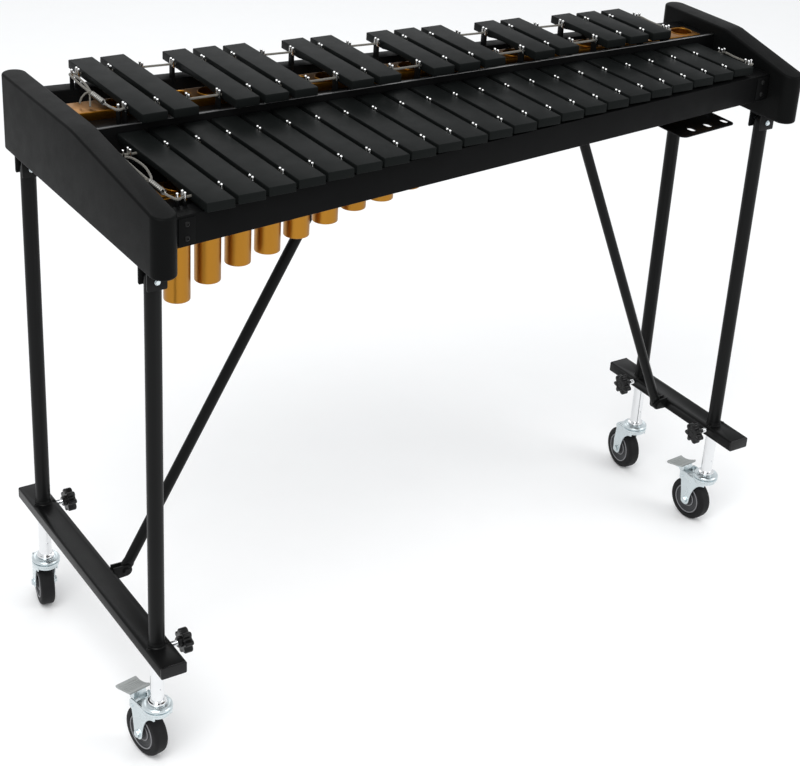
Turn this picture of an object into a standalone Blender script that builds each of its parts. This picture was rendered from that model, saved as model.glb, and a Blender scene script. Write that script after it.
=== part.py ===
"""A three-octave bar percussion instrument on a folding, height-adjustable rolling stand.

The frame is centred on the origin and stands on the plane z = 0. +X runs from the low bars to the
high ones, -Y is the player's side and +Z is up. Places along the keyboard are given in pitches: 0 is
the middle of the lowest natural bar and 21 the middle of the highest, so accidentals lie on halves.
"""

import math

import bmesh
import bpy
from mathutils import Matrix, Vector

# ---- driving dimensions, in metres --------------------------------------------------------------
PITCH = 0.045  # from one natural bar to the next
NATURALS = 22
MIDDLE = (NATURALS - 1) / 2
BAR_THICK = 0.012
NATURAL_WIDE = 0.038
ACCIDENTAL_WIDE = 0.036
NATURAL_TOP = 0.8435  # height of the upper faces
ACCIDENTAL_TOP = 0.8747
ARCH_DEEP = 0.0035  # the tuning cut under a bar
CORD_R = 0.0016
BORE_R = 0.0023  # the cord's hole through a bar

BLOCK_X = 12.14 * PITCH  # the end blocks, and the legs under them
BLOCK_THICK = 0.035
BLOCK_LOW_HALF = 5.54 * PITCH
BLOCK_HIGH_HALF = 3.42 * PITCH
BLOCK_BOTTOM = 0.7577
BLOCK_TOP = 0.8666
BLOCK_NOSE_LOW = 0.8375  # height of the front end's upper edge
BLOCK_NOSE_HIGH = 0.8320

LEG_R = 0.011
LEG_LOW_Y = 0.200  # half the distance between two legs
LEG_HIGH_Y = 0.0963
MID_LOW_Y = -0.003  # and the middle between them
MID_HIGH_Y = 0.006
PIVOT_Z = 0.7432  # the bolts on which a leg frame folds
BOLT_R = 0.004
BAR_FOOT_TOP = 0.1992  # the crossbars
BAR_FOOT_THICK = 0.018
BAR_FOOT_WIDE = 0.038
FOOT_LOW_HALF = 0.254
FOOT_HIGH_HALF = 0.161
STEM_R = 0.0095
STEM_BOTTOM = 0.1011
STEM_TOP = 0.360
RUN = 0.0003  # the gap between pieces that rest on each other
FIT = 0.0003  # what a running hole has over its pin, in radius

WHEEL_R = 0.0375
WHEEL_WIDE = 0.024
TRAIL = 0.025

BRACE_R = 0.008
BRACE_Y = 0.01575  # the low brace lies this far in front of the middle, the high one behind it
BRACE_TOP_Z = 0.780
BRACE_LOW_TOP_X = -0.1731
BRACE_HIGH_TOP_X = 0.2530
BRACE_FOOT_X = 0.5083  # the lower ends, in the clevises on the crossbars
BRACE_FOOT_Z = 0.194

TUBE_R = 0.0175
TUBE_WALL = 0.0015
TUBE_LONGEST = 0.155  # a quarter of the lowest bar's wavelength, less the end correction
BANK_WIDE = 0.043
BANK_LIP = 0.014
NATURAL_BANK_TOP = 0.8176
ACCIDENTAL_BANK_TOP = 0.8486

# ---- lines along the keyboard: (place at pitch 0, slope), in pitches --------------------------------
NATURAL_NEAR_PINS = (-4.30, 0.111)
NATURAL_FAR_PINS = (-0.90, 0.016)
ACCIDENTAL_NEAR_PINS = (0.813, -0.011)
ACCIDENTAL_FAR_PINS = (4.204, -0.102)
NATURAL_NEAR_ENDS = (-5.30, 0.1345)
NATURAL_FAR_ENDS = (0.40, 0.0)
ACCIDENTAL_NEAR_ENDS = (-0.22, 0.016)
ACCIDENTAL_FAR_ENDS = (5.22, -0.1158)
NATURAL_BANK = (-2.60, 0.0635)
ACCIDENTAL_BANK = (2.50, -0.0530)

SCALE = (0, 2, 4, 5, 7, 9, 11)  # semitones of the naturals in an octave
NOTES = "CDEFGAB"
GROUPS = ((0, 1), (3, 4, 5), (7, 8), (10, 11, 12), (14, 15), (17, 18, 19))  # naturals left of each


def along(x):
    """World x of a place along the keyboard."""
    return (x - MIDDLE) * PITCH


def on(line, x):
    """World y of a keyboard line at a place along it."""
    return (line[0] + line[1] * x) * PITCH


def semitone(natural):
    return SCALE[natural % 7] + 12 * (natural // 7)


# ---- scene ----------------------------------------------------------------------------------------
for old in list(bpy.data.objects):
    bpy.data.objects.remove(old, do_unlink=True)

scene = bpy.context.scene
parts = bpy.data.collections.new("vibraphone")
cutters = bpy.data.collections.new("cutters")
cutters.hide_render = True
scene.collection.children.link(parts)
scene.collection.children.link(cutters)


def material(name, colour, rough, metal=0.0):
    made = bpy.data.materials.new(name)
    made.use_nodes = True
    shader = made.node_tree.nodes["Principled BSDF"]
    shader.inputs["Base Color"].default_value = (*colour, 1)
    shader.inputs["Roughness"].default_value = rough
    shader.inputs["Metallic"].default_value = metal
    return made


BAR = material("bar", (0.030, 0.034, 0.034), 0.45)
BLOCK = material("block", (0.022, 0.023, 0.023), 0.40)
RAIL = material("rail", (0.015, 0.015, 0.016), 0.40, 0.3)
GOLD = material("gold", (0.60, 0.33, 0.06), 0.35, 1.0)
FRAME = material("frame_paint", (0.016, 0.016, 0.017), 0.35, 0.2)
ZINC = material("zinc", (0.70, 0.74, 0.76), 0.30, 1.0)
CHROME = material("chrome", (0.80, 0.80, 0.80), 0.15, 1.0)
TYRE = material("tyre", (0.035, 0.035, 0.037), 0.60)
KNOB = material("knob", (0.012, 0.012, 0.012), 0.35)
PEDAL = material("pedal", (0.20, 0.20, 0.20), 0.50)
CORD = material("cord", (0.38, 0.35, 0.29), 0.80)


# ---- meshes ---------------------------------------------------------------------------------------
def finished(bm, matrix=None):
    """A mesh from bm, moved by matrix, shaded smooth round its curves."""
    if matrix is not None:
        bmesh.ops.transform(bm, matrix=matrix, verts=bm.verts)
    bmesh.ops.recalc_face_normals(bm, faces=bm.faces)
    mesh = bpy.data.meshes.new("shape")
    bm.to_mesh(mesh)
    bm.free()
    mesh.shade_smooth()
    mesh.set_sharp_from_angle(angle=math.radians(40))
    return mesh


def box(x0, x1, y0, y1, z0, z1):
    bm = bmesh.new()
    bmesh.ops.create_cube(bm, size=1)
    size = Matrix.Diagonal((x1 - x0, y1 - y0, z1 - z0, 1))
    return finished(bm, Matrix.Translation(((x0 + x1) / 2, (y0 + y1) / 2, (z0 + z1) / 2)) @ size)


def rod(start, end, radius, sides=16):
    start, end = Vector(start), Vector(end)
    bm = bmesh.new()
    bmesh.ops.create_cone(
        bm, cap_ends=True, segments=sides, radius1=radius, radius2=radius, depth=(end - start).length
    )
    turn = (end - start).to_track_quat("Z", "Y").to_matrix().to_4x4()
    return finished(bm, Matrix.Translation((start + end) / 2) @ turn)


def joined(meshes):
    """One mesh of several that don't touch."""
    bm = bmesh.new()
    for mesh in meshes:
        bm.from_mesh(mesh)
    return finished(bm)


def mesh_of(obj, matrix=None):
    """The evaluated shape of a helper object, welded, and the helper removed."""
    scene.collection.objects.link(obj)
    graph = bpy.context.evaluated_depsgraph_get()
    mesh = bpy.data.meshes.new_from_object(obj.evaluated_get(graph))
    bpy.data.objects.remove(obj)
    bm = bmesh.new()
    bm.from_mesh(mesh)
    bmesh.ops.remove_doubles(bm, verts=bm.verts, dist=1e-6)
    return finished(bm, matrix)


YZ = Matrix(((0, 0, 1, 0), (1, 0, 0, 0), (0, 1, 0, 0), (0, 0, 0, 1)))  # outline (y, z), thick along X
XZ = Matrix(((1, 0, 0, 0), (0, 0, -1, 0), (0, 1, 0, 0), (0, 0, 0, 1)))  # outline (x, z), thick along Y


def plate(outline, thick, plane=None, at=(0, 0, 0)):
    """A flat outline with half its thickness on each side, laid in a plane."""
    curve = bpy.data.curves.new("outline", "CURVE")
    curve.dimensions = "2D"
    curve.fill_mode = "BOTH"
    curve.extrude = thick / 2
    spline = curve.splines.new("POLY")
    spline.points.add(len(outline) - 1)
    for point, (u, v) in zip(spline.points, outline):
        point.co = (u, v, 0, 1)
    spline.use_cyclic_u = True
    lay = Matrix.Translation(at) @ (plane if plane is not None else Matrix.Identity(4))
    return mesh_of(bpy.data.objects.new("outline", curve), lay)


def tube(points, radius, cyclic=False):
    curve = bpy.data.curves.new("route", "CURVE")
    curve.dimensions = "3D"
    curve.bevel_depth = radius
    curve.bevel_resolution = 1
    curve.use_fill_caps = True
    spline = curve.splines.new("POLY")
    spline.points.add(len(points) - 1)
    for point, place in zip(spline.points, points):
        point.co = (*place, 1)
    spline.use_cyclic_u = cyclic
    return mesh_of(bpy.data.objects.new("route", curve))


def turned(profile, sides):
    """A profile of (radius, z), from top to bottom, turned about Z."""
    bm = bmesh.new()
    rings = [bm.verts.new((r, 0, z)) for r, z in profile]
    for a, b in zip(rings, rings[1:] + rings[:1]):
        bm.edges.new((a, b))
    mesh = bpy.data.meshes.new("profile")
    bm.to_mesh(mesh)
    bm.free()
    obj = bpy.data.objects.new("profile", mesh)
    screw = obj.modifiers.new("turn", "SCREW")
    screw.steps = screw.render_steps = sides
    screw.use_merge_vertices = True
    screw.merge_threshold = 1e-5
    return mesh_of(obj)


def arc(centre, radius, start, end, steps):
    """Points of an arc in a plane; the angles are in degrees."""
    angles = [math.radians(start + (end - start) * i / steps) for i in range(steps + 1)]
    return [(centre[0] + radius * math.cos(a), centre[1] + radius * math.sin(a)) for a in angles]


def sheared(mesh, line):
    """The mesh set along a keyboard line: each vertex moves in y with its x."""
    for vertex in mesh.vertices:
        vertex.co.y += on(line, vertex.co.x / PITCH + MIDDLE)
    return mesh


# ---- nodes ----------------------------------------------------------------------------------------
def helper(name, mesh, owner):
    obj = bpy.data.objects.new(name, mesh)
    obj.parent = owner
    obj.hide_render = True
    obj.display_type = "WIRE"
    return obj


def boolean(owner, operation, meshes):
    """Adds one exact Boolean of all the meshes, which are in the owner's own space."""
    group = bpy.data.collections.new(f"{owner.name}_{operation.lower()}")
    cutters.children.link(group)
    for i, mesh in enumerate(meshes):
        group.objects.link(helper(f"{group.name}_{i}", mesh, owner))
    step = owner.modifiers.new(operation.lower(), "BOOLEAN")
    step.operation = operation
    step.solver = "EXACT"
    step.operand_type = "COLLECTION"
    step.collection = group


def node(name, mesh, look, at=(0, 0, 0), parent=None, turn=(0, 0, 0), join=(), cut=(), keep=()):
    """One part. Its mesh, what joins it and what cuts it are all in its own space."""
    obj = bpy.data.objects.new(name, mesh)
    mesh.name = name
    mesh.materials.append(look)
    parts.objects.link(obj)
    obj.parent = parent
    obj.location = at
    obj.rotation_euler = turn
    if keep:
        boolean(obj, "INTERSECT", keep)
    if join:
        boolean(obj, "UNION", join)
    if cut:
        boolean(obj, "DIFFERENCE", cut)
    return obj


# ---- bars -----------------------------------------------------------------------------------------
def bar_shape(length, wide, x=0.0, y=0.0):
    """A bar with its tuning arch, its upper face at z = 0."""
    half = length / 2
    span = 0.24 * length
    steps = 6
    arch = []
    for i in range(steps + 1):
        u = 1 - 2 * i / steps
        arch.append((u * span, -BAR_THICK + ARCH_DEEP * (1 - u * u)))
    outline = [(-half, 0), (-half, -BAR_THICK), *reversed(arch), (half, -BAR_THICK), (half, 0)]
    return plate(outline, wide, YZ, (x, y, 0))


def cord_line(line, x0, x1, z, radius, sides=8):
    return rod((along(x0), on(line, x0), z), (along(x1), on(line, x1), z), radius, sides)


def moved(mesh, offset):
    mesh.transform(Matrix.Translation(offset))
    return mesh


NATURAL_CORD_Z = NATURAL_TOP - BAR_THICK / 2
ACCIDENTAL_CORD_Z = ACCIDENTAL_TOP - BAR_THICK / 2

for k in range(NATURALS):
    near, far = on(NATURAL_NEAR_ENDS, k), on(NATURAL_FAR_ENDS, k)
    at = Vector((along(k), (near + far) / 2, NATURAL_TOP))
    bores = [
        moved(cord_line(line, k - 1, k + 1, NATURAL_CORD_Z, BORE_R, 6), -at)
        for line in (NATURAL_NEAR_PINS, NATURAL_FAR_PINS)
    ]
    name = f"bar_{NOTES[k % 7]}{5 + k // 7}"
    node(name, bar_shape(far - near, NATURAL_WIDE), BAR, at, cut=bores)


def rounded_route(corners, radius, z, steps=4, cyclic=True):
    """A level route through corners, each rounded off."""
    route = []
    count = len(corners)
    for i, corner in enumerate(corners):
        here = Vector((*corner, z))
        if not cyclic and i in (0, count - 1):
            route.append(here)
            continue
        before = (Vector((*corners[i - 1], z)) - here).normalized()
        after = (Vector((*corners[(i + 1) % count], z)) - here).normalized()
        for j in range(steps + 1):
            t = j / steps
            a = here + before * radius * (1 - t) ** 2 + after * radius * t**2
            route.append(a)
    return route


END_POST = 0.65  # the end posts stand this far beyond the outer bars' middles
TURN_OUT = 0.30  # the cord turns back this far beyond an end post
near_out, far_out = (
    [
        (along(x), on(line, x))
        for x in (-END_POST - TURN_OUT, NATURALS - 1 + END_POST + TURN_OUT)
    ]
    for line in (NATURAL_NEAR_PINS, NATURAL_FAR_PINS)
)
loop = rounded_route([near_out[0], near_out[1], far_out[1], far_out[0]], 0.006, NATURAL_CORD_Z)
SPRING_R = 0.0045
SPRING_LONG = 0.038


def spring(x, y, z):
    return rod((x, y - SPRING_LONG / 2, z), (x, y + SPRING_LONG / 2, z), SPRING_R, 10)


node(
    "natural_cord",
    tube(loop, CORD_R, cyclic=True),
    CORD,
    join=[spring(near_out[0][0], -3.3 * PITCH, NATURAL_CORD_Z)],
)

LAST = len(GROUPS) - 1
for g, group in enumerate(GROUPS):
    shapes = []
    for k in group:
        x = k + 0.5
        near, far = on(ACCIDENTAL_NEAR_ENDS, x), on(ACCIDENTAL_FAR_ENDS, x)
        shape = bar_shape(far - near, ACCIDENTAL_WIDE, along(x), (near + far) / 2)
        shapes.append(moved(shape, (0, 0, ACCIDENTAL_TOP)))
    # The cord is whole along each row; it is parted halfway between groups.
    x0 = group[0] - 0.5 + RUN / PITCH if g else -0.40
    x1 = group[-1] + 1.5 - RUN / PITCH if g < LAST else group[-1] + 1.40
    near0, far0, near1, far1 = (
        (along(x), on(line, x))
        for x in (x0, x1)
        for line in (ACCIDENTAL_NEAR_PINS, ACCIDENTAL_FAR_PINS)
    )
    z = ACCIDENTAL_CORD_Z
    if g == 0:
        routes = [rounded_route([near1, near0, far0, far1], 0.006, z, cyclic=False)]
    elif g == LAST:
        routes = [rounded_route([near0, near1, far1, far0], 0.006, z, cyclic=False)]
    else:
        routes = [[(*near0, z), (*near1, z)], [(*far0, z), (*far1, z)]]
    strings = [tube(route, CORD_R) for route in routes]
    if g == 0:
        strings.append(spring(near0[0], 1.65 * PITCH, z))
    first, last = group[0], group[-1]
    name = f"bars_{NOTES[first % 7]}s{5 + first // 7}_{NOTES[last % 7]}s{5 + last // 7}"
    node(name, joined(shapes), BAR, join=strings)


# ---- posts and rails --------------------------------------------------------------------------------
POST_THICK = 0.0036
POST_HALF = 0.0050
SLOT_HALF = 0.0024


def posts(line, places, base, top, cord_z):
    """Forked posts: the cord lies between the two prongs of each."""
    slot = cord_z - 0.0026
    outline = [
        (-POST_HALF, base),
        (POST_HALF, base),
        (POST_HALF, top),
        (SLOT_HALF, top),
        (SLOT_HALF, slot),
        (-SLOT_HALF, slot),
        (-SLOT_HALF, top),
        (-POST_HALF, top),
    ]
    return joined([plate(outline, POST_THICK, YZ, (along(x), on(line, x), 0)) for x in places])


RAIL_HALF = BLOCK_X - BLOCK_THICK / 2 - RUN
NATURAL_POSTS = [-END_POST, *(k + 0.5 for k in range(NATURALS - 1)), NATURALS - 1 + END_POST]
ACCIDENTAL_POSTS = [k for group in GROUPS for k in range(group[0], group[-1] + 2)]
PRONG = 0.0025  # the prongs rise this far over the bars
NATURAL_RAIL_TOP = 0.8280


def rail(line, outline):
    """A rail from block to block; the outline is (y from the line, z)."""
    return sheared(plate(outline, 2 * RAIL_HALF, YZ), line)


def rectangle(y0, y1, z0, z1):
    return [(y0, z0), (y1, z0), (y1, z1), (y0, z1)]


def closing_strip(start, start_off, end, end_off, z0, z1):
    """A sheet that closes the gap from one keyboard line to another."""
    outline = [(x, on(start, x / PITCH + MIDDLE) + start_off) for x in (-RAIL_HALF, RAIL_HALF)]
    outline += [(x, on(end, x / PITCH + MIDDLE) + end_off) for x in (RAIL_HALF, -RAIL_HALF)]
    return plate(outline, z1 - z0, None, (0, 0, (z0 + z1) / 2))


FASCIA = 0.0290  # from the near pins to the front face
FASCIA_BOTTOM = 0.7874
SHEET = 0.0035
node(
    "front_rail",
    rail(
        NATURAL_NEAR_PINS,
        [
            (-FASCIA, FASCIA_BOTTOM),
            (-FASCIA + SHEET, FASCIA_BOTTOM),
            (-FASCIA + SHEET, NATURAL_RAIL_TOP - SHEET),
            (-SHEET, NATURAL_RAIL_TOP - SHEET),
            (-SHEET, NATURAL_RAIL_TOP - 0.016),
            (0, NATURAL_RAIL_TOP - 0.016),
            (0, NATURAL_RAIL_TOP),
            (-FASCIA, NATURAL_RAIL_TOP),
        ],
    ),
    RAIL,
    join=[
        posts(
            NATURAL_NEAR_PINS,
            NATURAL_POSTS,
            NATURAL_RAIL_TOP - 0.014,
            NATURAL_TOP + PRONG,
            NATURAL_CORD_Z,
        ),
        box(-RAIL_HALF, -0.482, -0.2005, -0.1430, 0.8122, 0.8142),
    ],
)


def brace_ear(side):
    """The ear and pin that hold a brace's upper end, beside the brace."""
    x = BRACE_LOW_TOP_X if side < 0 else BRACE_HIGH_TOP_X
    y = side * BRACE_Y
    outer, inner = y + side * 0.0145, y + side * 0.0105
    ear = [(x - 0.010, 0.806), *arc((x, BRACE_TOP_Z), 0.010, 180, 360, 8), (x + 0.010, 0.806)]
    lug = plate(ear, 0.004, XZ, (0, (outer + inner) / 2, 0))
    pin = rod((x, outer - side * 0.001, BRACE_TOP_Z), (x, y - side * 0.006, BRACE_TOP_Z), BOLT_R)
    return [lug, pin]


node(
    "natural_inner_rail",
    rail(NATURAL_FAR_PINS, rectangle(-0.0030, 0.0135, 0.803, NATURAL_RAIL_TOP)),
    RAIL,
    join=[
        posts(
            NATURAL_FAR_PINS,
            NATURAL_POSTS,
            NATURAL_RAIL_TOP - 0.010,
            NATURAL_TOP + PRONG,
            NATURAL_CORD_Z,
        ),
        closing_strip(
            NATURAL_FAR_PINS, -0.0015, NATURAL_BANK, BANK_WIDE / 2 + 0.0004, 0.806, 0.808
        ),
        *brace_ear(-1),
    ],
)

INNER_FACE = 0.0211  # the face behind the naturals' far ends
INNER_THICK = 0.006
INNER_TOP = 0.8527
LEDGE_TOP = 0.8400
ledge = [(x, INNER_FACE + INNER_THICK - 0.001) for x in (RAIL_HALF, -RAIL_HALF)]
ledge += [(x, on(ACCIDENTAL_NEAR_PINS, x / PITCH + MIDDLE) + 0.006) for x in (-RAIL_HALF, RAIL_HALF)]
node(
    "accidental_inner_rail",
    rail((0, 0), rectangle(INNER_FACE, INNER_FACE + INNER_THICK, 0.791, INNER_TOP)),
    RAIL,
    join=[
        plate(ledge, 0.006, None, (0, 0, LEDGE_TOP - 0.003)),
        posts(
            ACCIDENTAL_NEAR_PINS,
            ACCIDENTAL_POSTS,
            LEDGE_TOP - 0.003,
            ACCIDENTAL_TOP + PRONG,
            ACCIDENTAL_CORD_Z,
        ),
        closing_strip(
            ACCIDENTAL_NEAR_PINS, 0.0045, ACCIDENTAL_BANK, -BANK_WIDE / 2 - 0.0004, 0.835, 0.837
        ),
        *brace_ear(1),
    ],
)

REAR_RAIL_TOP = 0.8484
node(
    "rear_rail",
    rail(ACCIDENTAL_FAR_PINS, rectangle(-0.0036, 0.0225, REAR_RAIL_TOP - 0.032, REAR_RAIL_TOP)),
    RAIL,
    join=[
        posts(
            ACCIDENTAL_FAR_PINS,
            ACCIDENTAL_POSTS,
            REAR_RAIL_TOP - 0.005,
            ACCIDENTAL_TOP + PRONG,
            ACCIDENTAL_CORD_Z,
        )
    ],
)


# ---- resonators -----------------------------------------------------------------------------------
def resonator_bank(name, line, top, places):
    """Tubes closed at the bottom, hung in a channel; places is [(place, semitone)].

    The accidental bank has blind tubes in the gaps between the groups of bars and at the high end.
    """
    half, lip, wall = BANK_WIDE / 2, BANK_LIP, 0.002
    channel = [
        (-half, top),
        (-half, top - lip),
        (-half + wall, top - lip),
        (-half + wall, top - wall),
        (half - wall, top - wall),
        (half - wall, top - lip),
        (half, top - lip),
        (half, top),
    ]
    shells, bores = [], []
    for x, semitones in places:
        centre = (along(x), on(line, x))
        bottom = top - TUBE_LONGEST * 2 ** (-semitones / 12)
        shells.append(rod((*centre, bottom), (*centre, top + 0.001), TUBE_R, 10))
        inner = (*centre, bottom + 0.002)
        bores.append(rod(inner, (*centre, top + 0.003), TUBE_R - TUBE_WALL, 10))
    node(name, rail(line, channel), GOLD, join=[joined(shells)], cut=[joined(bores)])


resonator_bank(
    "natural_resonators",
    NATURAL_BANK,
    NATURAL_BANK_TOP,
    [(k, semitone(k)) for k in range(NATURALS)],
)
resonator_bank(
    "accidental_resonators",
    ACCIDENTAL_BANK,
    ACCIDENTAL_BANK_TOP,
    [(k + 0.5, semitone(k) + 1) for k in range(NATURALS)],
)


# ---- accessory plate under the high end -------------------------------------------------------------
PLATE_TOP = 0.757
PLATE_THICK = 0.002
plate_x0, plate_x1 = along(18.35), along(20.95)
plate_front = [on((-4.78, 0.108), x) for x in (18.35, 20.95)]
plate_rear = -0.0255
corner = 0.010
outline = [
    (plate_x0, plate_rear),
    *arc((plate_x0 + corner, plate_front[0] + corner), corner, 180, 275, 4),
    *arc((plate_x1 - corner, plate_front[1] + corner), corner, 280, 360, 4),
    (plate_x1, plate_rear),
]
slots = []
for x in (19.15, 19.94, 20.75):
    front = on((-4.78, 0.108), x) + 0.009
    centre = along(x)
    slot = [
        *arc((centre, front + 0.0065), 0.0052, 180, 360, 6),
        *arc((centre, front + 0.0125), 0.0052, 0, 180, 6),
    ]
    slots.append(plate(slot, 0.02, None, (0, 0, PLATE_TOP)))
node(
    "accessory_plate",
    plate(outline, PLATE_THICK, None, (0, 0, PLATE_TOP - PLATE_THICK / 2)),
    FRAME,
    join=[
        box(
            plate_x0 + 0.01,
            plate_x1 - 0.01,
            plate_rear - PLATE_THICK,
            plate_rear - RUN,
            PLATE_TOP - 0.0015,
            0.803 - RUN,
        )
    ],
    cut=slots,
)


# ---- end blocks, with the leg brackets ----------------------------------------------------------------
BRACKET_HALF = 0.0135
BRACKET_DROP = 0.028
BRACKET_WALL = 0.002


def leg_bracket(y):
    """A channel open downwards, with the bolt on which the leg folds."""
    half, wall = BRACKET_HALF, BRACKET_WALL
    low, high = BLOCK_BOTTOM - BRACKET_DROP, BLOCK_BOTTOM + 0.001
    channel = [
        (-half, low),
        (-half + wall, low),
        (-half + wall, BLOCK_BOTTOM - wall),
        (half - wall, BLOCK_BOTTOM - wall),
        (half - wall, low),
        (half, low),
        (half, high),
        (-half, high),
    ]
    bolt = rod((0, y - half - 0.001, PIVOT_Z), (0, y + half + 0.001, PIVOT_Z), BOLT_R)
    heads = [
        rod((0, y + s * (half - 0.001), PIVOT_Z), (0, y + s * (half + 0.004), PIVOT_Z), 0.0065, 6)
        for s in (-1, 1)
    ]
    return [plate(channel, 2 * half, YZ, (0, y, 0)), bolt, *heads]


def end_block(name, x, half, nose, mid, leg_y):
    profile = [(-half, BLOCK_BOTTOM), (half, BLOCK_BOTTOM), (half, BLOCK_TOP), (0, BLOCK_TOP)]
    profile.append((-half, nose))
    r = BLOCK_THICK / 2
    plan = [*arc((0, half - r), r, 0, 180, 14), *arc((0, -half + r), r, 180, 360, 14)]
    tall = plate(plan, 0.3, None, (0, 0, 0.8))
    node(
        name,
        plate(profile, BLOCK_THICK + 0.002, YZ),
        BLOCK,
        (x, 0, 0),
        keep=[tall],
        join=[*leg_bracket(mid - leg_y), *leg_bracket(mid + leg_y)],
    )


end_block("end_block_low", -BLOCK_X, BLOCK_LOW_HALF, BLOCK_NOSE_LOW, MID_LOW_Y, LEG_LOW_Y)
end_block("end_block_high", BLOCK_X, BLOCK_HIGH_HALF, BLOCK_NOSE_HIGH, MID_HIGH_Y, LEG_HIGH_Y)


# ---- leg frames -------------------------------------------------------------------------------------
KNOB_Z = BAR_FOOT_TOP - BAR_FOOT_THICK / 2
STEM_HOLE = STEM_R + FIT
EAR_GAP = 0.0035  # half the gap between the clevis ears
EAR = 0.003


def leg_frame(name, side, mid, leg_y, foot_half):
    """Two hollow legs on a crossbar. Its origin is on the fold axis."""
    origin = Vector((side * BLOCK_X, 0, PIVOT_Z))
    top, bottom = BAR_FOOT_TOP - origin.z, BAR_FOOT_TOP - BAR_FOOT_THICK - origin.z
    wide = BAR_FOOT_WIDE / 2
    join, cut = [], []
    for y in (mid - leg_y, mid + leg_y):
        join.append(rod((0, y, top - 0.002), (0, y, 0), LEG_R, 16))
        head = LEG_R - 0.0003
        join.append(rod((0, y - head, 0), (0, y + head, 0), LEG_R + 0.0002, 16))
        join.append(rod((0, y, top - 0.001), (0, y, top + 0.003), LEG_R + 0.002, 16))
        cut.append(rod((0, y, bottom - 0.01), (0, y, -0.120), STEM_HOLE, 16))
        cut.append(rod((0, y - 0.02, 0), (0, y + 0.02, 0), BOLT_R + FIT, 12))
        z = KNOB_Z - origin.z
        cut.append(rod((0, y, z), (-side * (wide + 0.01), y, z), BOLT_R + FIT, 16))
    # The clevis for the brace's lower end, on the inner side.
    inner = -side * wide
    x = side * BRACE_FOOT_X - origin.x
    z = BRACE_FOOT_Z - origin.z
    web = inner + side * 0.002
    for s in (-1, 1):
        y = side * BRACE_Y + s * (EAR_GAP + EAR / 2)
        start, end = (90, -90) if side < 0 else (90, 270)
        ear = [(web, z - 0.009), (web, z + 0.009), *arc((x, z), 0.009, start, end, 8)]
        join.append(plate(ear, EAR, XZ, (0, y, 0)))
        join.append(
            rod((x, y - s * 0.001, z), (x, y + s * (EAR / 2 + 0.004), z), 0.005, 6),
        )
    bar = box(-wide, wide, mid - foot_half, mid + foot_half, bottom, top)
    return node(name, bar, FRAME, origin, join=join, cut=cut)


frame_low = leg_frame("leg_frame_low", -1, MID_LOW_Y, LEG_LOW_Y, FOOT_LOW_HALF)
frame_high = leg_frame("leg_frame_high", 1, MID_HIGH_Y, LEG_HIGH_Y, FOOT_HIGH_HALF)


# ---- braces -----------------------------------------------------------------------------------------
def brace(name, side, top_x):
    """A round tube with flattened eyes. Its origin is at the upper pivot, and it hangs along -Z."""
    run, drop = side * BRACE_FOOT_X - top_x, BRACE_TOP_Z - BRACE_FOOT_Z
    length = math.hypot(run, drop)
    eye = 0.0088
    flat = [*arc((0, 0), eye, 0, 180, 8), *arc((0, -length), eye, 180, 360, 8)]
    join = [rod((0, 0, -0.020), (0, 0, -length + 0.020), BRACE_R, 14)]
    holes = [rod((0, -0.01, z), (0, 0.01, z), BOLT_R + FIT, 12) for z in (0, -length)]
    turn = (0, -math.atan2(run, drop), 0)
    at = (top_x, side * BRACE_Y, BRACE_TOP_Z)
    node(name, plate(flat, 0.005, XZ), FRAME, at, turn=turn, join=join, cut=holes)


brace("brace_low", -1, BRACE_LOW_TOP_X)
brace("brace_high", 1, BRACE_HIGH_TOP_X)


# ---- casters and clamp knobs --------------------------------------------------------------------------
RACE_R = 0.0215
RACE_TOP = STEM_BOTTOM - 0.0005
RACE_BOTTOM = RACE_TOP - 0.012
KINGPIN_R = 0.0048
CHEEK_IN = 0.0135  # inner faces of the fork's cheeks
CHEEK = 0.0025
AXLE_R = 0.004
BRAKE_PIN = (0.038, 0.079)  # behind the swivel axis, and height
BRAKE_PIN_R = 0.0025


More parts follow.
